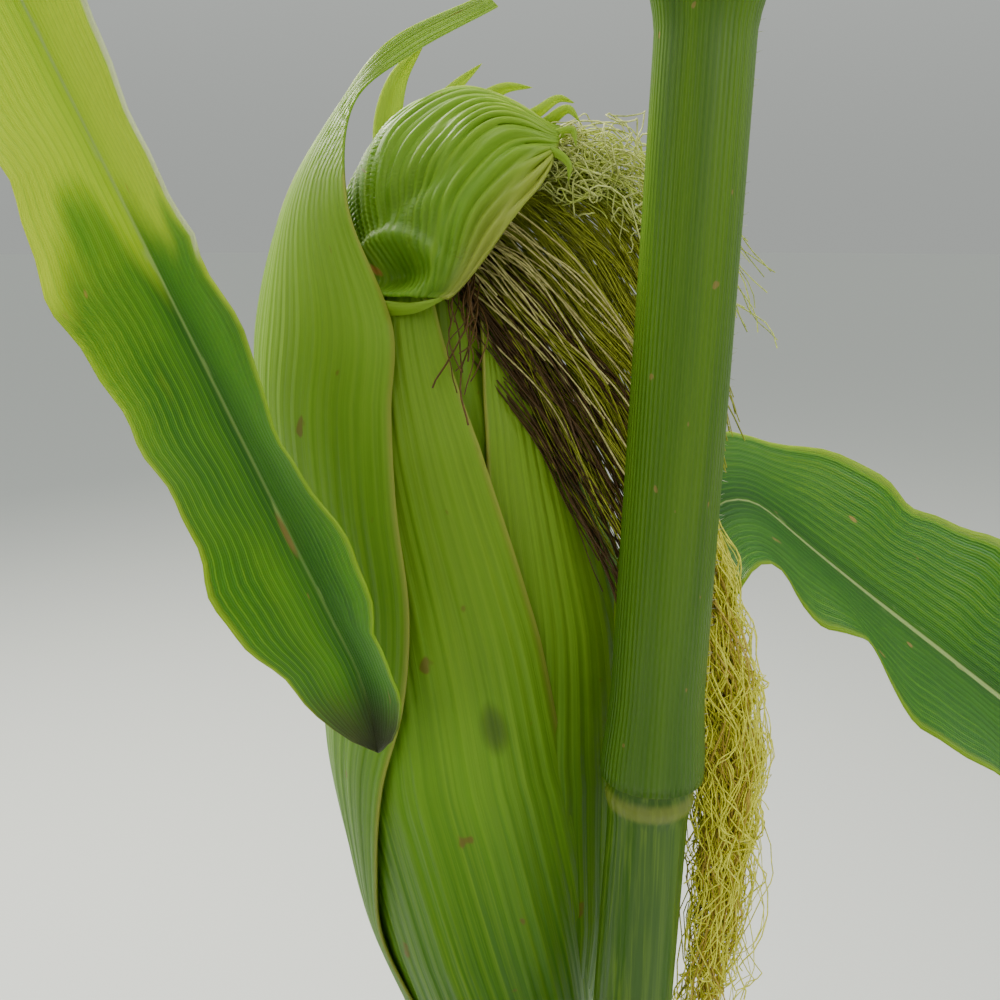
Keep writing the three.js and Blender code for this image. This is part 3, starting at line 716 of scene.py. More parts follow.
# the free margin, last in each row, stands out a little further than the solid's
hoodRows = [
    [(-52, 71, 1143), (-80, 62, 1144), (-86, 46, 1145), (-75, 26, 1141), (-52, 18, 1140)],
    [(-50, 69, 1158), (-75, 61, 1162), (-80, 46, 1163), (-68, 28, 1156), (-45, 17, 1148)],
    [(-44, 64, 1172), (-63, 58, 1179), (-68, 46, 1181), (-57, 29, 1171), (-39, 19, 1156)],
    [(-36, 55, 1178), (-47, 52, 1186), (-50, 45, 1189), (-43, 31, 1182), (-31, 25, 1166)],
    [(-28, 42, 1178), (-27, 41, 1179), (-26, 39, 1180), (-26, 36, 1178), (-27, 34, 1174)],
]


def earPoint(place):
    return stalkAxis(earPlan["height"]) * (1, 1, 0) + np.asarray(place, float)


earMiddles = [earPoint(p) for p in earPlan["middles"]]


def roundEar(u, angle, out):
    u = min(max(u, 0.0), 1.0)
    way = curveWay(earMiddles, u)
    right = unit(np.cross((0.0, 1.0, 0.0), way))
    front = unit(np.cross(right, way))
    r = rowValue(earPlan["radii"], u) + out
    turn = math.radians(angle)
    return curvePoint(earMiddles, u) + r * (right * math.sin(turn) + front * math.cos(turn))


# the right husk bellies out where the photo shows it against the stalk: how far, where across and how wide
rightBelly = {"husk": "husk_right", "out": 16.5, "place": 0.68, "reach": 0.33}


def huskPoint(husk, u, v):
    layerStep = earPlan["huskThickness"] + earPlan["huskGap"]
    out = earPlan["huskGap"] + earPlan["huskThickness"] / 2 + husk["layer"] * layerStep
    out += husk.get("flare", 0) * smooth((u - 0.45) / 0.55) * (1 - v) ** 0.7
    angle = between(rowValue(husk["left"], u), rowValue(husk["right"], u), v)
    return roundEar(between(husk["from"], husk["to"], u), angle, out)


def pleated(points, v, height, pleats):
    # presses lengthwise pleats into a sheet
    wave = np.sin(2 * math.pi * pleats * v) + 0.5 * np.sin(2 * math.pi * pleats * 2.37 * v + 1.3)
    return points + sheetNormals(points) * (height * wave)[..., None]


def addHusk(name, seed):
    husk = huskPlans[name]
    u, v = shares(huskFine)
    points = surface(lambda a, b: huskPoint(husk, a, b), u, v)
    fade = np.sin(math.pi * np.clip(u, 0.03, 0.97)) ** 0.4
    pleats = huskFine["pleats"] * (0.8 + 0.4 * draw(seed))
    points = pleated(points, v, huskFine["pleat"] * fade, pleats)
    fromMiddle = unit(points - surface(lambda a, b: curvePoint(earMiddles, a), u, [0.0]))
    if name == rightBelly["husk"]:
        belly = np.sin(math.pi * u ** 1.4) ** 0.8 * bell(v, rightBelly["place"], rightBelly["reach"])
        points = points + fromMiddle * (rightBelly["out"] * belly)[..., None]
    waver = huskFine["marginWaver"] * np.sin(u * 17 + 6 * draw(seed + 1)) * np.abs(2 * v - 1) ** 6
    points = points + fromMiddle * np.maximum(waver, 0)[..., None]
    finish = {"husk_front": huskFront, "husk_right": huskLight}.get(name, huskGreen)
    sheetPiece(name + "_leaf", points, huskFine["thickness"], u, v, [finish], [name])


# the fine left husk runs on below the solid, at these places along the ear, and further round the back
leftHuskFoot = {"places": (0.05, 0.13, 0.21), "left": [-106, -112, -100], "margins": (-116, -38),
                "out": 2.5, "moreOut": 16}
leftHuskFine = {"rows": 170, "columns": 49, "thickness": 0.75, "pleat": 0.22, "pleats": 13, "narrowest": 0.35}


def addLeftHusk():
    # the left husk leaf and the strap it ends in are one growth
    husk = {**huskPlans["husk_left"], "left": leftHuskFoot["left"]}
    u, v = shares(leftHuskFine)
    columns = []
    for b in v:
        left, right = leftHuskFoot["margins"]
        guide = []
        for share in leftHuskFoot["places"]:
            out = (leftHuskFoot["out"] + leftHuskFoot["moreOut"] * share) * (0.8 + 0.2 * b)
            guide.append(roundEar(share, between(left + 40 * share, right - 50 * share, b), out))
        guide += [huskPoint(husk, a, b) for a in np.linspace(0, 1, 8)]
        guide += [curvePoint([earPoint(p) for p in row], b) for row in strapRows]
        columns.append([curvePoint(guide, t) for t in u[:, 0]])
    points = np.swapaxes(np.array(columns), 0, 1)
    narrow = 1 - 0.75 * smooth((u - 0.5) / 0.3)
    points = pleated(points, v, leftHuskFine["pleat"] * narrow, leftHuskFine["pleats"])
    # the finish keeps its scale on the strap, which is narrow
    width = np.linalg.norm(np.diff(points, axis=1), axis=-1).sum(axis=1, keepdims=True)
    share = np.clip(width / (leftHuskFine["narrowest"] * width.max()), 0, 1)
    across = 0.5 + (v - 0.5) * share
    sheetPiece("husk_left_leaf", points, leftHuskFine["thickness"], u, across, [huskLeft],
               ["husk_left", "husk_strap"])


hoodPlan = {
    "rows": 80, "columns": 241, "thickness": 0.75,
    "gather": 0.36,                              # how far the pleats run together in the hook at the foot
    "pleat": 0.85, "pleats": 27, "finePleat": 0.30,
    "pocket": (0.11, 0.83, 0.125, 0.095, -5.5),  # place along and across, reach along and across, depth
    "rim": 1.9,
    "fold": (0.40, 0.76, -2.0),                  # the long hollow above the pocket
    "lip": 1.6,                                  # how far the foot turns outwards
}


def addHood():
    u, v = shares(hoodPlan)
    rows = [[earPoint(p) for p in row] for row in hoodRows]
    across = [[curvePoint(row, b) for row in rows] for b in v]
    points = np.swapaxes(np.array([[curvePoint(line, a) for a in u[:, 0]] for line in across]), 0, 1)
    normal = sheetNormals(points)
    outward = np.sign(np.sum(normal * (points - earPoint((-52, 45, 1150))), -1, keepdims=True).mean())
    normal = normal * outward
    gather = between(hoodPlan["gather"], 1.0, smooth(u / 0.55))
    strand = 1 - (1 - v) / gather
    placeU, placeV, reachU, reachV, depth = hoodPlan["pocket"]
    far = np.sqrt(((u - placeU) / reachU) ** 2 + ((v - placeV) / reachV) ** 2)
    bend = depth * (1 - smooth(far)) + hoodPlan["rim"] * bell(far, 1.12, 0.24)
    foldU, foldV, foldDepth = hoodPlan["fold"]
    leaning = v - foldV - 0.25 * (u - foldU)
    bend += foldDepth * np.exp(-((u - foldU) / 0.16) ** 2 - (leaning / 0.035) ** 2)
    bend += hoodPlan["lip"] * bell(u, 0, 0.03)
    jitter = 0.011 * np.sin(31 * strand + 2) + 0.019 * np.sin(13 * strand + 5 * u)
    ridge = np.abs(np.cos(math.pi * hoodPlan["pleats"] * (strand + jitter))) ** 3
    fine = np.sin(2 * math.pi * hoodPlan["pleats"] * 1.37 * strand + 2)
    calm = smooth((1 - u) / 0.14) * gather * (1 - 0.75 * np.exp(-(far / 0.9) ** 4))
    bend = bend + calm * (hoodPlan["pleat"] * ridge + hoodPlan["finePleat"] * fine)
    sheetPiece("husk_hood_leaf", points + normal * bend[..., None], hoodPlan["thickness"], u,
               1 - 0.5 * (1 - strand), [hoodFinish], ["husk_hood"])


tipFine = {"rows": 26, "columns": 7, "thickness": 0.4, "cup": 0.35}
# narrow tips of inner husk leaves: places along each, and its half width
tipPlans = [
    ([(-79, 31, 1139), (-71, 22, 1138), (-61, 17, 1138), (-52, 17, 1141)], 2.2),
    ([(-68, 52, 1166), (-70, 58, 1182), (-67, 60, 1194), (-60, 61, 1203)], 4.2),
    ([(-60, 56, 1180), (-57, 58, 1186), (-52, 60, 1192), (-45, 61, 1198)], 2.6),
    ([(-50, 54, 1184), (-45, 55, 1188), (-39, 54, 1191), (-32, 53, 1191)], 2.2),
    ([(-34, 42, 1178), (-29, 40, 1181), (-24, 37, 1184), (-21, 36, 1181)], 1.7),
    ([(-32, 38, 1177), (-27, 36, 1178), (-23, 35, 1179), (-22, 34, 1175)], 1.4),
    ([(-37, 45, 1181), (-31, 42, 1184), (-26, 42, 1187), (-22, 42, 1186)], 1.5),
    ([(-34, 34, 1174), (-28, 32, 1174), (-24, 31, 1171), (-24, 31, 1167)], 1.2),
]


def addHuskTips():
    points, faces, uvs = [], [], []
    u, v = shares(tipFine)
    for places, width in tipPlans:
        guide = [earPoint(p) for p in places]
        line = np.array([curvePoint(guide, a) for a in u[:, 0]])
        way = unit(np.gradient(line, axis=0))
        side = unit(np.cross(way, (0.0, 1.0, 0.25)))
        half = (width * (1 - u ** 2.2) * (2 * v - 1))[..., None]
        cup = tipFine["cup"] * np.abs(half) * unit(np.cross(side, way))[:, None]
        middle = line[:, None] + side[:, None] * half + cup
        skin, under, rim = sheetFaces(len(u), len(v))
        normal = sheetNormals(middle) * tipFine["thickness"] / 2
        first = sum(len(part) for part in points)
        points += [(middle + normal).reshape(-1, 3), (middle - normal).reshape(-1, 3)]
        uv = np.broadcast_arrays(0.55 + 0.45 * u, 0.5 + 0.15 * (v - 0.5))
        uvs += [np.stack(uv, -1).reshape(-1, 2)] * 2
        faces += [tuple(first + n for n in face) for face in skin + under + rim]
    makePiece("husk_inner_tips", np.concatenate(points), faces, np.concatenate(uvs), [huskTip], [])


def loftPiece(name, rings, material, replaced):
    # rings of points closed into a tube with flat ends
    rings = np.asarray(rings)
    rows, sides = rings.shape[:2]
    points = np.concatenate([rings.reshape(-1, 3), rings[[0, -1]].mean(axis=1)])
    uv = np.stack(np.meshgrid(np.linspace(0, 1, rows), np.abs(np.linspace(-1, 1, sides)), indexing="ij"), -1)
    uv = np.concatenate([uv.reshape(-1, 2), [[0, 0.5], [1, 0.5]]])
    faces = []
    for i in range(rows - 1):
        for j in range(sides):
            a, b = i * sides + j, i * sides + (j + 1) % sides
            faces.append((a, b, b + sides, a + sides))
    foot, end = rows * sides, rows * sides + 1
    for j in range(sides):
        after = (j + 1) % sides
        faces.append((foot, after, j))
        faces.append((end, (rows - 1) * sides + j, (rows - 1) * sides + after))
    makePiece(name, points, faces, uv, [material], replaced)


bodyFine = {"rings": 60, "sides": 72, "uneven": 0.5}


def addEarBody():
    sides = bodyFine["sides"]
    rings = [[roundEar(a, 360 * j / sides, bodyFine["uneven"] * math.sin(j * 2.4) * math.sin(math.pi * a))
              for j in range(sides)] for a in np.linspace(0, 1, bodyFine["rings"])]
    loftPiece("ear_body_inner", rings, huskDeep, ["ear_body"])


# above is its foot's height over the node, and sag how far its middle hangs
shankPlan = {"above": 8, "rings": 24, "sides": 48, "radius": 6, "widening": 3.4, "sag": 5}


def addShank():
    foot = stalkAxis(nodeHeights[earLeaf] + shankPlan["above"])
    way = unit((curvePoint(earMiddles, 0.0) - foot) * (1, 1, 0))
    side = np.array([-way[1], way[0], 0.0])
    start = foot + way * (stalkRadius(foot[2]) - 1.0)
    end = curvePoint(earMiddles, 0.0) + curveWay(earMiddles, 0.0)
    tilt = unit(np.cross(curveWay(earMiddles, 0.0), side))
    rings = []
    for t in np.linspace(0, 1, shankPlan["rings"]):
        centre = between(start, end, t) - np.array([0, 0, shankPlan["sag"] * math.sin(t * math.pi)])
        up = unit(between(np.array([0, 0, 1.0]), tilt, t))
        r = (shankPlan["radius"] + shankPlan["widening"] * t) * (1 + 0.035 * math.sin(t * 38))
        rings.append([centre + r * (1 + 0.025 * math.sin(12 * a)) * (side * math.cos(a) + up * math.sin(a))
                      for a in np.linspace(0, 2 * math.pi, shankPlan["sides"], endpoint=False)])
    loftPiece("ear_shank_stem", rings, huskGreen, ["ear_shank"])


# Geometry Nodes: ribbed stems, threads between two rails, and small items along a path
class Growth(Nodes):
    # a tree with these named inputs and their first values, and a material
    family = "GeometryNode"

    def __init__(self, name, inputs):
        self.tree = bpy.data.node_groups.new(name, "GeometryNodeTree")
        self.addSocket("Geometry", "Geometry")
        for label, value in inputs.items():
            kind = {int: "Int", float: "Float", tuple: "Vector"}[type(value)]
            self.addSocket(label, kind).default_value = value
        self.addSocket("Material", "Material")
        self.addSocket("Geometry", "Geometry", "OUTPUT")
        self.entry = self.tree.nodes.new("NodeGroupInput")

    def addSocket(self, label, kind, way="INPUT"):
        return self.tree.interface.new_socket(label, in_out=way, socket_type="NodeSocket" + kind)

    def __getitem__(self, label):
        return Value(self, self.entry.outputs[label])

    def vector(self, operation, *values):
        return self.node("ShaderNodeVectorMath", values, operation=operation)

    def scaled(self, vector, amount):
        return self.node("ShaderNodeVectorMath", {0: vector, "Scale": amount}, operation="SCALE")

    def mixed(self, factor, a, b):
        return self.node("ShaderNodeMix", {0: factor, 4: a, 5: b}, 1, data_type="VECTOR")

    def random(self, identity, seed, low=0.0, high=1.0):
        sockets = {2: low, 3: high, "ID": identity, "Seed": seed}
        return self.node("FunctionNodeRandomValue", sockets, 1, data_type="FLOAT")

    def randomVector(self, identity, seed, reach):
        # every axis from -1 to 1, times reach
        sockets = {0: (-1.0,) * 3, 1: (1.0,) * 3, "ID": identity, "Seed": seed}
        return self.scaled(self.node("FunctionNodeRandomValue", sockets, data_type="FLOAT_VECTOR"), reach)

    def stored(self, name, kind):
        return self.node("InputNamedAttribute", [name], data_type=kind)

    def ring(self, sides):
        return self.node("CurvePrimitiveCircle", {"Resolution": sides, "Radius": 1.0})

    def upright(self, count):
        # a line from the origin to one metre above it, with count points
        line = self.node("CurvePrimitiveLine", {"Start": (0, 0, 0), "End": (0, 0, 1)})
        return self.node("ResampleCurve", {"Curve": line, "Count": count})

    def tube(self, line, ring, radius):
        sockets = {"Curve": line, "Profile Curve": ring, "Fill Caps": True, "Scale": radius}
        return self.node("CurveToMesh", sockets)

    def close(self, geometry):
        geometry = self.node("RealizeInstances", [self.node("SetShadeSmooth", [geometry])])
        geometry = self.node("SetMaterial", {"Geometry": geometry, "Material": self["Material"]})
        self.node("NodeGroupOutput", [geometry])
        return self.tree


def ribbedStemTree():
    grow = Growth("ribbedStem", {"Sides": 60, "Ribs": 20, "Rib depth": 0.01})
    path = grow.node("MeshToCurve", [grow["Geometry"]])
    wave = (grow.node("SplineParameter") * (2 * math.pi) * grow["Ribs"]).sine()
    place = grow.scaled(grow.node("InputPosition"), wave.maths("MULTIPLY_ADD", grow["Rib depth"], 1.0))
    ring = grow.node("SetPosition", {"Geometry": grow.ring(grow["Sides"]), "Position": place})
    return grow.close(grow.tube(path, ring, grow.stored("thickness", "FLOAT")))


def threadTree():
    # each thread runs on a curve of four places, part-way between rail A and rail B
    rails = {f"{rail}{n}": (0.0, 0.0, 0.0) for rail in "AB" for n in range(4)}
    grow = Growth("threads", {"Count": 300, "Points": 18, "Seed": 1, "Thickness": 0.0002, "Spread": 0.004,
                              "Frizz": 0.004, "Frizz scale": 2.0, "Shortest": 0.7, **rails})
    line = grow.node("DuplicateElements", {0: grow.upright(grow["Points"]), "Amount": grow["Count"]},
                     domain="SPLINE")
    strand, seed = line.other(1), grow["Seed"]
    t = grow.node("SplineParameter") * grow.random(strand, seed + 3.0, grow["Shortest"])
    share = grow.random(strand, seed)
    places = []
    for n in range(4):
        rail = grow.mixed(share, grow[f"A{n}"], grow[f"B{n}"])
        jitter = grow.randomVector(strand, seed + (11.0 + n), grow["Spread"])
        places.append(grow.vector("ADD", rail, jitter))
    while len(places) > 1:
        places = [grow.mixed(t, a, b) for a, b in zip(places, places[1:])]
    drift = grow.node("ShaderNodeCombineXYZ", [t * grow["Frizz scale"], share * 60.0, seed])
    cloud = grow.node("ShaderNodeTexNoise", {"Vector": drift, "Scale": 1.0, "Detail": 0.4}, 1)
    frizz = grow.scaled(grow.vector("SUBTRACT", cloud, (0.5, 0.5, 0.5)), grow["Frizz"])
    place = grow.vector("ADD", places[0], grow.scaled(frizz, t.ramp(0.0, 0.35)))
    line = grow.node("SetPosition", {"Geometry": line, "Position": place})
    thin = grow["Thickness"] * grow.random(strand, seed + 5.0, 0.7, 1.3)
    return grow.close(grow.tube(line, grow.ring(3), thin))


def itemTree():
    # small spindles along a path, leaning from the path's way towards the stored outward direction
    grow = Growth("itemsAlongPath", {"Spacing": 0.004, "Length": 0.009, "Width": 0.0013, "Lean": 0.5,
                                     "Spin": 2.4, "Stand off": 0.001, "Uneven": 0.2, "Sides": 5, "Seed": 1})
    path = grow.node("MeshToCurve", [grow["Geometry"]])
    path = grow.node("ResampleCurve", {"Curve": path, "Length": grow["Spacing"]}, mode="LENGTH")
    points = grow.node("CurveToPoints", [path], mode="EVALUATED")
    way, index = points.other("Tangent"), grow.node("InputIndex")
    turning = {"Vector": grow.stored("outward", "FLOAT_VECTOR"), "Axis": way, "Angle": index * grow["Spin"]}
    outward = grow.node("ShaderNodeVectorRotate", turning, rotation_type="AXIS_ANGLE")
    aim = grow.vector("ADD", grow.mixed(grow["Lean"], way, outward),
                      grow.randomVector(index, grow["Seed"], grow["Uneven"]))
    belly = (grow.node("SplineParameter") ** 0.75 * math.pi).sine()
    item = grow.tube(grow.upright(6), grow.ring(grow["Sides"]), (belly + 0.06) * grow["Width"])
    size = grow.node("ShaderNodeCombineXYZ", [1.0, 1.0, grow["Length"]])
    copies = grow.node("InstanceOnPoints", {
        "Points": points, "Instance": grow.node("Transform", {"Geometry": item, "Scale": size}),
        "Rotation": grow.node("FunctionNodeAlignRotationToVector", {"Vector": aim}, axis="Z"),
        "Scale": grow.random(index, grow["Seed"] + 7.0, 0.75, 1.2)})
    shift = grow.scaled(outward, grow["Stand off"])
    return grow.close(grow.node("TranslateInstances",
                                {"Instances": copies, "Translation": shift, "Local Space": False}))


def grown(tree, source, inputs):
    # the result of one tree on one source mesh, as a plain mesh
    holder = addObject("growing", source)
    modifier = holder.modifiers.new("grow", "NODES")
    modifier.node_group = tree
    for item in tree.interface.items_tree:
        if item.item_type == "SOCKET" and item.in_out == "INPUT" and item.name in inputs:
            modifier[item.identifier] = inputs[item.name]
    done = holder.evaluated_get(bpy.context.evaluated_depsgraph_get())
    mesh = bpy.data.meshes.new_from_object(done)
    for slot in reversed(range(len(mesh.materials))):
        if mesh.materials[slot] is None:
            mesh.materials.pop(index=slot)
    holder.modifiers.remove(modifier)
    bpy.data.objects.remove(holder)
    return mesh


def pathMesh(lines, **attributes):
    # open lines of points, with values stored on the points
    points = [p for line in lines for p in line]
    edges, first = [], 0
    for line in lines:
        edges += [(first + i, first + i + 1) for i in range(len(line) - 1)]
        first += len(line)
    mesh = bpy.data.meshes.new("paths")
    mesh.from_pydata((np.array(points) * millimetre).tolist(), edges, [])
    for name, values in attributes.items():
        values = np.asarray(values, np.float32)
        kind, key = ("FLOAT", "value") if values.ndim == 1 else ("FLOAT_VECTOR", "vector")
        mesh.attributes.new(name, kind, "POINT").data.foreach_set(key, values.ravel())
    return mesh


ribbedStem, threads, itemsAlongPath = ribbedStemTree(), threadTree(), itemTree()


# Stalk with its nodes, flare and brace roots
# points lower than this, in metres, are laid flat on the ground
flatBelow = 0.0008
stalkFine = {"step": 12.0, "footMarks": {2.0, 5.0, 9.0, 15.0},
             "nodeMarks": (-7, -5, -3.5, -2.5, -1.5, -0.7, 0, 0.7, 1.5, 2.5, 3.5, 5, 7)}
ribPlan = {
    # sides round it, ribs round it, and the ribs' depth as a share of the radius
    "stalk": (84, 26, 0.010),
    "root": (14, 5, 0.05),
    "tassel": (10, 5, 0.06),
}


def stalkLines():
    marks = set(np.arange(0, stalkPlan["top"], stalkFine["step"]))
    marks |= stalkFine["footMarks"] | {stalkPlan["top"]}
    for h in nodeHeights:
        marks |= {h + d for d in stalkFine["nodeMarks"]}
    heights = sorted(marks)
    return [[stalkAxis(z) for z in heights]], [stalkRadius(z) * millimetre for z in heights]


def rootLines():
    lines, thickness = [], []
    for k in range(rootPlan["count"]):
        heading = ((k + 0.3 * draw(k + 40)) / rootPlan["count"]) * 2 * math.pi
        top = rootPlan["height"] - 10 * draw(k + 60)
        start, end = stalkRadius(top) / 2, rootPlan["reach"] * (0.8 + 0.4 * draw(k + 80))
        lines.append([])
        for t in np.linspace(0, 1, rootPlan["steps"]):
            reach = between(start, end, t ** 0.85)
            lines[-1].append(wayRound(heading) * reach + (0, 0, top * (1 - t ** 1.15)))
            knot = 1 + 0.07 * math.sin(9 * t + k)
            thickness.append(rootPlan["radius"] * (1.08 - 0.25 * t) * knot * millimetre)
    return lines, thickness


def ribbed(plan, lines, thickness, finish):
    # tubes with fine lengthwise ribs along these lines
    sides, ribs, depth = ribPlan[plan]
    return grown(ribbedStem, pathMesh(lines, thickness=thickness),
                 {"Sides": sides, "Ribs": ribs, "Rib depth": depth, "Material": finish})


def addStalk():
    shaft, roots = ribbed("stalk", *stalkLines(), stalkFinish), ribbed("root", *rootLines(), stalkFinish)
    for mesh in (shaft, roots):
        # the cut at ground level is flat
        for point in mesh.vertices:
            if point.co.z < flatBelow:
                point.co.z = 0.0
    addPiece("stalk_skin", shaft, ["stalk"])
    addPiece("brace_roots", roots, [])


# Hairs along the free margins of the sheaths
hairPlan = {"Spacing": 0.0021, "Length": 0.0024, "Width": 0.00009, "Lean": 0.75, "Spin": 0.0,
            "Stand off": 0.0002, "Uneven": 0.5, "Sides": 3, "Seed": 4}


def addItems(name, plan, lines, outward, finish, replaced):
    # small spindles along these lines, laid out as plan says
    mesh = grown(itemsAlongPath, pathMesh(lines, outward=outward), {**plan, "Material": finish})
    addPiece(name, mesh, replaced)


def addSheathHairs():
    lines, outward = [], []
    for k in range(1, len(nodeHeights)):
        if k == earLeaf:
            continue
        for v in (0.0, 1.0):
            line = [sheathPoint(k, u, v) for u in np.linspace(0.04, 0.98, 40)]
            lines.append(line)
            outward += [unit((p - stalkAxis(p[2])) * (1, 1, 0)) for p in line]
    addItems("sheath_hairs", hairPlan, lines, outward, hairFinish, [])


# Silk: each bundle runs between two rails of four places
silkPlan = {
    # name: colour, count, points, thickness, spread, frizz, frizz scale, shortest, rail A, rail B
    "silk_pale": ((0.760, 0.860, 0.170), 150, 34, 0.18, 3.5, 22.0, 5.0, 0.35,
                  [(-34, 42, 1174), (-18, 45, 1184), (6, 40, 1174), (27, 33, 1138)],
                  [(-38, 39, 1164), (-20, 41, 1170), (4, 38, 1156), (22, 31, 1122)]),
    "silk_loops": ((0.760, 0.800, 0.260), 34, 44, 0.22, 2.5, 30.0, 7.0, 0.4,
                   [(-30, 40, 1175), (-20, 42, 1186), (-4, 38, 1180), (8, 34, 1160)],
                   [(-36, 34, 1162), (-24, 34, 1170), (-12, 32, 1160), (4, 30, 1142)]),
    "silk_olive": ((0.420, 0.450, 0.030), 640, 20, 0.20, 3.4, 13.0, 2.6, 0.55,
                   [(-32, 41, 1174), (-12, 43, 1170), (10, 38, 1150), (18, 31, 1108)],
                   [(-54, 33, 1144), (-40, 30, 1128), (-17, 27, 1089), (4, 20, 1050)]),
    "silk_brown": ((0.110, 0.055, 0.012), 250, 20, 0.23, 3.6, 15.0, 2.8, 0.3,
                   [(-44, 37, 1155), (-28, 37, 1142), (-4, 31, 1115), (8, 25, 1080)],
                   [(-56, 30, 1142), (-43, 28, 1126), (-21, 23, 1086), (1, 17, 1042)]),
    "silk_straw": ((0.720, 0.640, 0.240), 34, 20, 0.25, 3.8, 10.0, 2.0, 0.2,
                   [(-44, 31, 1160), (-28, 33, 1154), (-8, 30, 1134), (6, 25, 1108)],
                   [(-54, 28, 1144), (-42, 26, 1131), (-24, 22, 1106), (-6, 18, 1080)]),
    "silk_withered": ((0.180, 0.090, 0.025), 16, 22, 0.22, 2.2, 14.0, 3.0, 0.4,
                      [(-50, 26, 1144), (-50, 19, 1136), (-52, 14, 1128), (-53, 12, 1116)],
                      [(-47, 26, 1146), (-46, 20, 1138), (-46, 15, 1126), (-48, 12, 1108)]),
    "silk_fall_gold": ((0.980, 0.960, 0.090), 290, 42, 0.20, 4.2, 26.0, 9.0, 0.5,
                       [(8, 30, 1096), (26, 14, 1058), (32, 8, 1000), (16, 8, 930)],
                       [(4, 22, 1084), (13, 9, 1046), (16, 5, 988), (9, 6, 930)]),
    "silk_fall_brown": ((0.600, 0.430, 0.060), 90, 34, 0.22, 3.6, 22.0, 7.0, 0.45,
                        [(6, 28, 1096), (22, 13, 1058), (28, 8, 1000), (14, 8, 934)],
                        [(2, 24, 1086), (13, 10, 1048), (18, 5, 990), (10, 6, 934)]),
}
silkReplaces = {"silk_olive": ["silk_crown"], "silk_fall_gold": ["silk_fall"]}


def addSilk():
    for seed, (name, plan) in enumerate(silkPlan.items()):
        colour, count, points, thickness, spread, frizz, frizzScale, shortest, railA, railB = plan
        finish = makePlainFinish(name, colour, 0.48, specular=0.35, mottle=0.35)
        inputs = {"Count": count, "Points": points, "Seed": 20 + seed * 9, "Material": finish,
                  "Thickness": thickness * millimetre, "Spread": spread * millimetre,
                  "Frizz": frizz * millimetre, "Frizz scale": frizzScale, "Shortest": shortest}
        for rail, places in (("A", railA), ("B", railB)):
            for n, place in enumerate(places):
                inputs[f"{rail}{n}"] = tuple((earPoint(place) * millimetre).tolist())
        mesh = grown(threads, bpy.data.meshes.new("empty"), inputs)
        addPiece(name, mesh, silkReplaces.get(name, []))


# Tassel
# pairs are for the lowest and the highest branch, and the bare steps carry no spikelets
tasselPlan = {"length": 300.0, "branches": 11, "spiral": 137.5, "steps": 26, "mainRadius": 2.6,
              "branchRadius": 1.15, "foot": 4, "rise": (34, 66), "branchLength": (215, 130),
              "branchFoot": (30, 115), "droop": (52, 18), "bareMain": 5, "bareBranch": 2}
spikeletPlan = {"Spacing": 0.0034, "Length": 0.0085, "Width": 0.00115, "Lean": 0.36, "Spin": 2.15,
                "Stand off": 0.0012, "Uneven": 0.16, "Sides": 5, "Seed": 3}
antherPlan = {"Spacing": 0.0105, "Length": 0.0062, "Width": 0.00042, "Lean": 0.95, "Spin": 0.0,
              "Stand off": 0.0028, "Uneven": 0.35, "Sides": 4, "Seed": 8}


def spikeLine(start, way, length, droop):
    t = np.linspace(0, 1, tasselPlan["steps"])[:, None]
    return start + way * length * t + np.array([0, 0, -1.0]) * droop * t * t


def tasselLines():
    foot = stalkAxis(stalkPlan["top"] - tasselPlan["foot"])
    lines = [spikeLine(foot, unit(np.array([stalkPlan["lean"], 0, 1.0])), tasselPlan["length"], 0.0)]
    for k in range(tasselPlan["branches"]):
        t = k / (tasselPlan["branches"] - 1)
        heading = math.radians(tasselPlan["spiral"] * k)
        rise, length, height, droop = (between(*tasselPlan[key], t)
                                       for key in ("rise", "branchLength", "branchFoot", "droop"))
        rise = math.radians(rise + 10 * (draw(k + 300) - 0.5))
        way = wayRound(heading, math.cos(rise), math.sin(rise))
        length = length * (0.88 + 0.24 * draw(k + 320))
        lines.append(spikeLine(foot + (0, 0, tasselPlan["foot"] + height), way, length, droop))
    return lines


def addTassel():
    lines = tasselLines()
    radii = [tasselPlan["mainRadius"]] + [tasselPlan["branchRadius"]] * tasselPlan["branches"]
    thickness = [millimetre * radius * (1 - 0.7 * i / (len(line) - 1))
                 for radius, line in zip(radii, lines) for i in range(len(line))]
    addPiece("tassel_stems", ribbed("tassel", lines, thickness, tasselStem), [])
    dressed = [lines[0][tasselPlan["bareMain"]:]] + [line[tasselPlan["bareBranch"]:] for line in lines[1:]]
    count = sum(len(line) for line in dressed)
    leaning, hanging = [(0.0, 0.6, 0.8)] * count, [(0.0, 0.0, -1.0)] * count
    addItems("tassel_spikelets", spikeletPlan, dressed, leaning, tasselStraw, ["tassel"])
    addItems("tassel_anthers", antherPlan, dressed, hanging, tasselAnther, [])


floorPlan = {"reach": 60.0, "sides": 96, "colour": (0.74, 0.76, 0.73)}


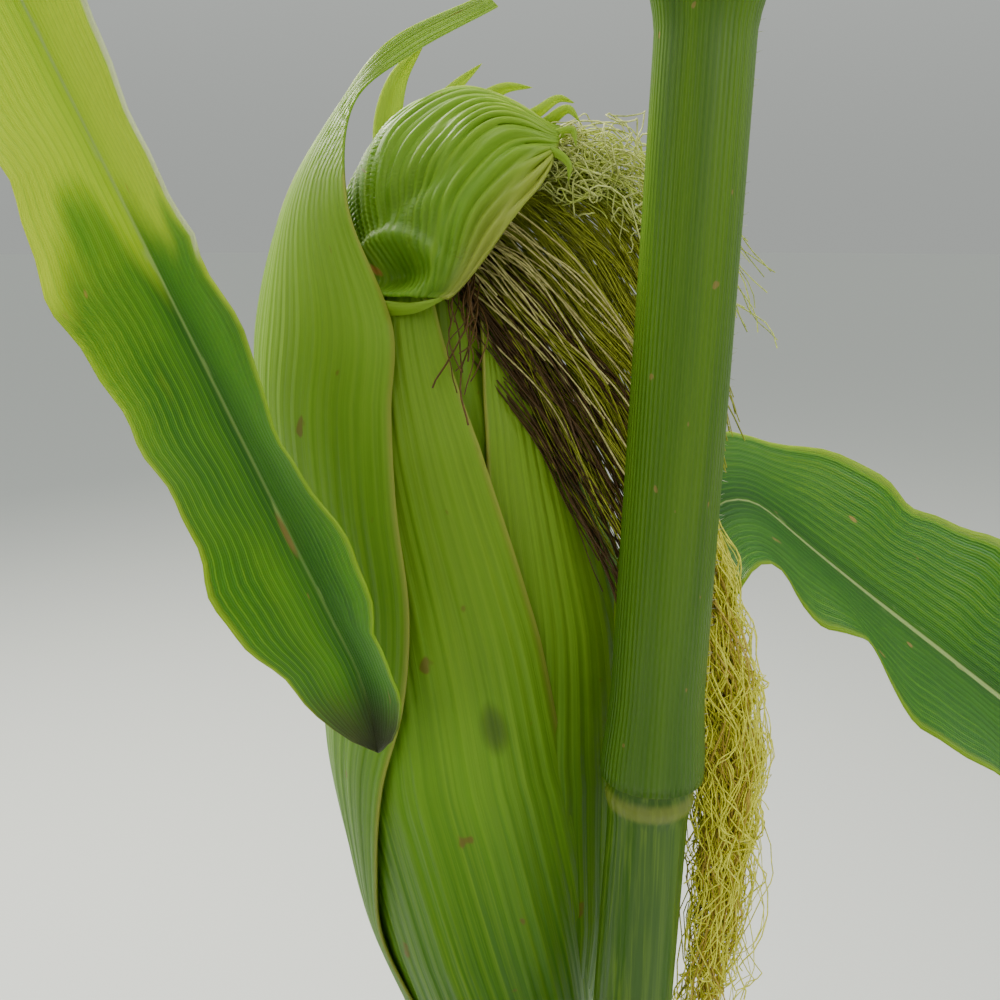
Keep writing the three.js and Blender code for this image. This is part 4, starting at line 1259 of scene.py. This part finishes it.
def addFloor():
    mesh = bpy.data.meshes.new("floor")
    sides = range(floorPlan["sides"])
    rim = [wayRound(2 * math.pi * n / len(sides)) * floorPlan["reach"] for n in sides]
    mesh.from_pydata(rim, [], [tuple(sides)])
    mesh.materials.append(makePlainFinish("paleFloor", floorPlan["colour"], 0.9, specular=0.2, mottle=0.02))
    addObject("floor", mesh)


# The finishes, and then every piece
# the hanging leaf takes the sunlit copy, and every other leaf the copy in painted shade
leafFinishes = [makeLeafFinish("leafTop"), makeLeafFinish("leafUnder", underside=True)]
hangingFinishes = [makeLeafFinish("hangingTop", hanging=True),
                   makeLeafFinish("hangingUnder", underside=True, hanging=True)]
sheathFinish, stalkFinish = makeSheathFinish(), makeStalkFinish()
huskGreen = makeHuskFinish("huskGreen", 0.08, 24, 0.55)
huskLeft = makeHuskFinish("huskLeft", 0.24, 24, 0.55)
huskFront = makeHuskFinish("huskFront", 0.14, 26, 0.55, darkSpot=(0.565, 0.79, 0.035, 0.055))
huskLight = makeHuskFinish("huskLight", 0.16, 22, 0.65)
huskDeep = makeHuskFinish("huskDeep", 0.0, 20, 0.2)
hoodFinish = makeHuskFinish("huskHood", 0.34, 54, 0.5, oneMargin=True, lowShade=0.25,
                            fleck=(0.10, 0.72, 0.020, 0.022))
huskTip = makeHuskFinish("huskTip", 0.55, 8, 0.7)
hairFinish = makePlainFinish("paleHair", stemColours["hair"], 0.5)
tasselStem = makePlainFinish("tasselStem", (0.30, 0.32, 0.07), 0.6)
tasselStraw = makePlainFinish("tasselStraw", (0.44, 0.31, 0.09), 0.62, 0.1)
tasselAnther = makePlainFinish("tasselAnther", (0.52, 0.33, 0.05), 0.6)
print("finishes made")

addStalk()
print("stalk and brace roots grown")
for leaf in range(1, len(nodeHeights)):
    addSheath(leaf)
    addBlade(leaf)
addSheathHairs()
print("leaves grown")
addEarBody()
addShank()
for number, name in enumerate(("husk_back", "husk_right", "husk_front")):
    addHusk(name, 500 + 7 * number)
addLeftHusk()
addHood()
addHuskTips()
addSilk()
print("ear dressed")
addTassel()
addFloor()
print("tassel and floor added")
